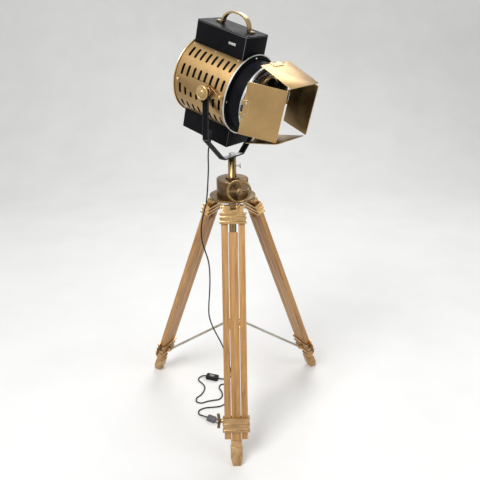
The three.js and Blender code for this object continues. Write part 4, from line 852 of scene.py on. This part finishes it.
# Lozenge screw plates on the feet
LOZENGE_SEAT, LOZENGE_FACE, LOZENGE_MIDDLE = 16, 17.2, -869
LOZENGE_HALF_TALL, LOZENGE_HALF_WIDE = 12, 6.5
for name, matrix in LEGS.items():
    body = f"{name}_leg_extension"
    low, high = LOZENGE_MIDDLE - LOZENGE_HALF_TALL, LOZENGE_MIDDLE + LOZENGE_HALF_TALL
    outline = (
        (0, high), (-LOZENGE_HALF_WIDE, LOZENGE_MIDDLE), (0, low), (LOZENGE_HALF_WIDE, LOZENGE_MIDDLE),
    )
    shape = bmesh.new()
    loft(shape, [[(x, y, z) for y, z in outline] for x in (LOZENGE_SEAT, LOZENGE_FACE)])
    from_bmesh(f"{name}_foot_lozenge", shape, matrix, brass_turned, body)
    seat = seat_at(LOZENGE_FACE, 0, LOZENGE_MIDDLE) @ turn("Y", 90)
    screw_heads(f"{name}_foot_screw", [seat], 3.2, 1.8, matrix, body, "steel")

# The free lead, on the route of its solids, in millimetres from the column's foot
CORD_RADIUS = 2.6
HANGING = [
    [-84.4, 37, 1045], [-86, 33, 1018], [-86, 22, 985], [-88, 2, 945], [-91, -22, 903], [-96, -34, 867],
    [-105, -36, 832], [-113, -31, 797], [-118, -26, 755], [-116, -22, 712], [-106, -18, 668],
    [-97, -14, 631], [-93, -10, 592], [-93, -6, 543], [-96, 0, 487], [-101, 8, 429], [-102, 16, 372],
    [-92, 24, 322], [-76, 32, 276], [-58, 40, 228], [-40, 51, 168], [-26, 66, 100], [-19, 84, 42],
    [-22, 101, 11], [-35, 108, 2.8], [-51, 98, 4.2], [-66, 93.4, 8.5],
]
LYING = [
    [-138.5, 119.6, 7.8], [-152, 119, 4.2], [-162, 107, 2.8], [-160, 90, 2.8], [-148, 74, 2.8],
    [-136, 54, 2.8], [-133, 32, 2.8], [-138, 10, 2.8], [-148, -10, 2.8], [-164, -30, 2.8],
    [-162, -54, 2.8], [-142, -62, 2.8], [-118, -52, 2.8], [-94, -46, 2.8], [-70, -40, 2.8],
    [-57, -18, 2.8], [-61, 12, 2.8], [-71, 38, 2.8], [-63, 60, 2.8], [-42, 60, 2.8], [-31, 38, 2.8],
    [-31, 6, 2.8], [-34, -28, 2.8], [-40, -62, 2.8], [-62, -84, 2.8], [-94, -90, 2.8],
    [-126, -94, 2.8], [-150, -110, 2.8], [-149, -132, 3.4], [-126, -150.8, 7.5],
]
SWITCH = STAND @ place(-102.3, 106.4, 0) @ turn("Z", -20)
PLUG = STAND @ place(-98, -167, 0) @ turn("Z", -30)
SWITCH_END, SWITCH_ENTRY, PLUG_END, PLUG_ENTRY = 27.3, 8.5, 18.3, 7.5
LAMP_BOX_FLOOR, GLAND_FLANGE, GLAND_LENGTH = -184, 4, 38
GLAND_FORWARD, GLAND_SIDE = -30, -25
# Heights in metres at which the cord passes to the next body, and the share of its lowest piece at which a
# point is picked
YOKE_BREAK, COLUMN_BREAK, BENDING_SHARE = 1.012, 0.978, 0.72


def stand_point(matrix, x, y, z):
    # A point of a placed piece, in the millimetres of the cord's route
    return tuple((STAND.inverted() @ matrix @ Vector((x * MM, y * MM, z * MM))) / MM)


def make_cords():
    gland_end = LAMP_BOX_FLOOR - SEAT - GLAND_FLANGE - GLAND_LENGTH - SEAT
    relief_end = stand_point(HEAD, GLAND_FORWARD, GLAND_SIDE, gland_end)
    switch_in = stand_point(SWITCH, SWITCH_END, 0, SWITCH_ENTRY)
    switch_out = stand_point(SWITCH, -SWITCH_END, 0, SWITCH_ENTRY)
    plug_entry = stand_point(PLUG, -PLUG_END, 0, PLUG_ENTRY)
    hang = catmull([relief_end, *HANGING, switch_in], 480) * MM + np.array(AXIS)
    lie = catmull([switch_out, *LYING, plug_entry], 420) * MM + np.array(AXIS)
    first = int(np.argmax(hang[:, 2] < YOKE_BREAK))
    second = int(np.argmax(hang[:, 2] < COLUMN_BREAK))
    lowest = hang[second:]
    bend_end = lowest[int(len(lowest) * BENDING_SHARE)]
    # Name, line, the two bodies it runs between, a point on it, and the pieces on it
    runs = [
        ("power_cord_at_lamp", hang[:first + 1], ("lamp_head", "yoke"), hang[first], []),
        ("power_cord_at_yoke", hang[first:second + 1], ("yoke", "column"), hang[second], []),
        ("power_cord_down", lowest, ("column", "stand"), bend_end, ["inline_switch", "switch_rocker"]),
        ("plug_cord", lie, None, None, ["mains_plug"]),
    ]
    made = {}
    for name, line, pair, end, _ in runs:
        mesh = tube(name, line, CORD_RADIUS * MM)
        made[name] = new_object(name, mesh, rubber, None if pair else "stand", 60)
        if pair:
            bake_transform(made[name])
    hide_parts("power_cord")
    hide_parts("switch_to_plug_cord")


make_cords()


# Pale floor, bent up into a backdrop; in metres
def make_floor():
    half, near, far, bend, tall = 9, -6, 2.6, 2.2, 6
    dark, light = (0.80, 0.80, 0.79), (0.84, 0.84, 0.83)
    g = Graph("pale_floor")
    grain = g.noise(g.coords, 3, 3)
    g.set(colour=g.ramp(grain, (0.3, dark), (0.7, light)), rough=0.7)
    angles = np.linspace(0, math.pi / 2, 25)[1:]
    line = [(near, 0), (far, 0)]
    line += [(far + bend * math.sin(angle), bend * (1 - math.cos(angle))) for angle in angles]
    line += [(far + bend, tall)]
    points = [(x, y, z) for y, z in line for x in (-half, half)]
    strips = [(2 * i, 2 * i + 1, 2 * i + 3, 2 * i + 2) for i in range(len(line) - 1)]
    mesh = bpy.data.meshes.new("floor")
    mesh.from_pydata(points, [], strips)
    mesh.polygons.foreach_set("use_smooth", [True] * len(mesh.polygons))
    mesh.materials.append(g.material)
    floor = bpy.data.objects.new("floor", mesh)
    bpy.context.scene.collection.objects.link(floor)


def make_lights():
    # Name, place and aim in metres, watts, and width in metres
    for name, at, aim, power, size in (
        ("key", (-1.6, -2.0, 4.0), (0, 0, 0.9), 120, 2.0),
        ("fill", (3.0, -1.6, 2.2), (0, 0, 0.9), 35, 2.6),
        ("back", (0.6, 2.2, 3.4), (0, 0, 1.0), 55, 2.0),
    ):
        data = bpy.data.lights.new(name, "AREA")
        data.energy, data.size = power, size
        light = bpy.data.objects.new(name, data)
        light.location = at
        light.rotation_euler = (Vector(aim) - Vector(at)).to_track_quat("-Z", "Y").to_euler()
        bpy.context.scene.collection.objects.link(light)


def make_world():
    # White where it is seen, also through glass and in a reflection, and dimmer as a light
    dim, bright = 0.45, 1.0
    world = bpy.data.worlds.new("studio")
    world.use_nodes = True
    tree = world.node_tree
    tree.nodes.clear()
    rays = tree.nodes.new("ShaderNodeLightPath").outputs
    seen = rays["Is Camera Ray"]
    for kind in ("Is Transmission Ray", "Is Glossy Ray"):
        either = tree.nodes.new("ShaderNodeMath")
        either.operation = "MAXIMUM"
        tree.links.new(seen, either.inputs[0])
        tree.links.new(rays[kind], either.inputs[1])
        seen = either.outputs[0]
    strength = tree.nodes.new("ShaderNodeMapRange")
    tree.links.new(seen, strength.inputs["Value"])
    strength.inputs["To Min"].default_value = dim
    strength.inputs["To Max"].default_value = bright
    background = tree.nodes.new("ShaderNodeBackground")
    background.inputs["Color"].default_value = (1, 1, 1, 1)
    tree.links.new(strength.outputs["Result"], background.inputs["Strength"])
    output = tree.nodes.new("ShaderNodeOutputWorld")
    tree.links.new(background.outputs[0], output.inputs["Surface"])
    bpy.context.scene.world = world
    bpy.context.scene.view_settings.view_transform = "Standard"


make_floor()
make_lights()
make_world()
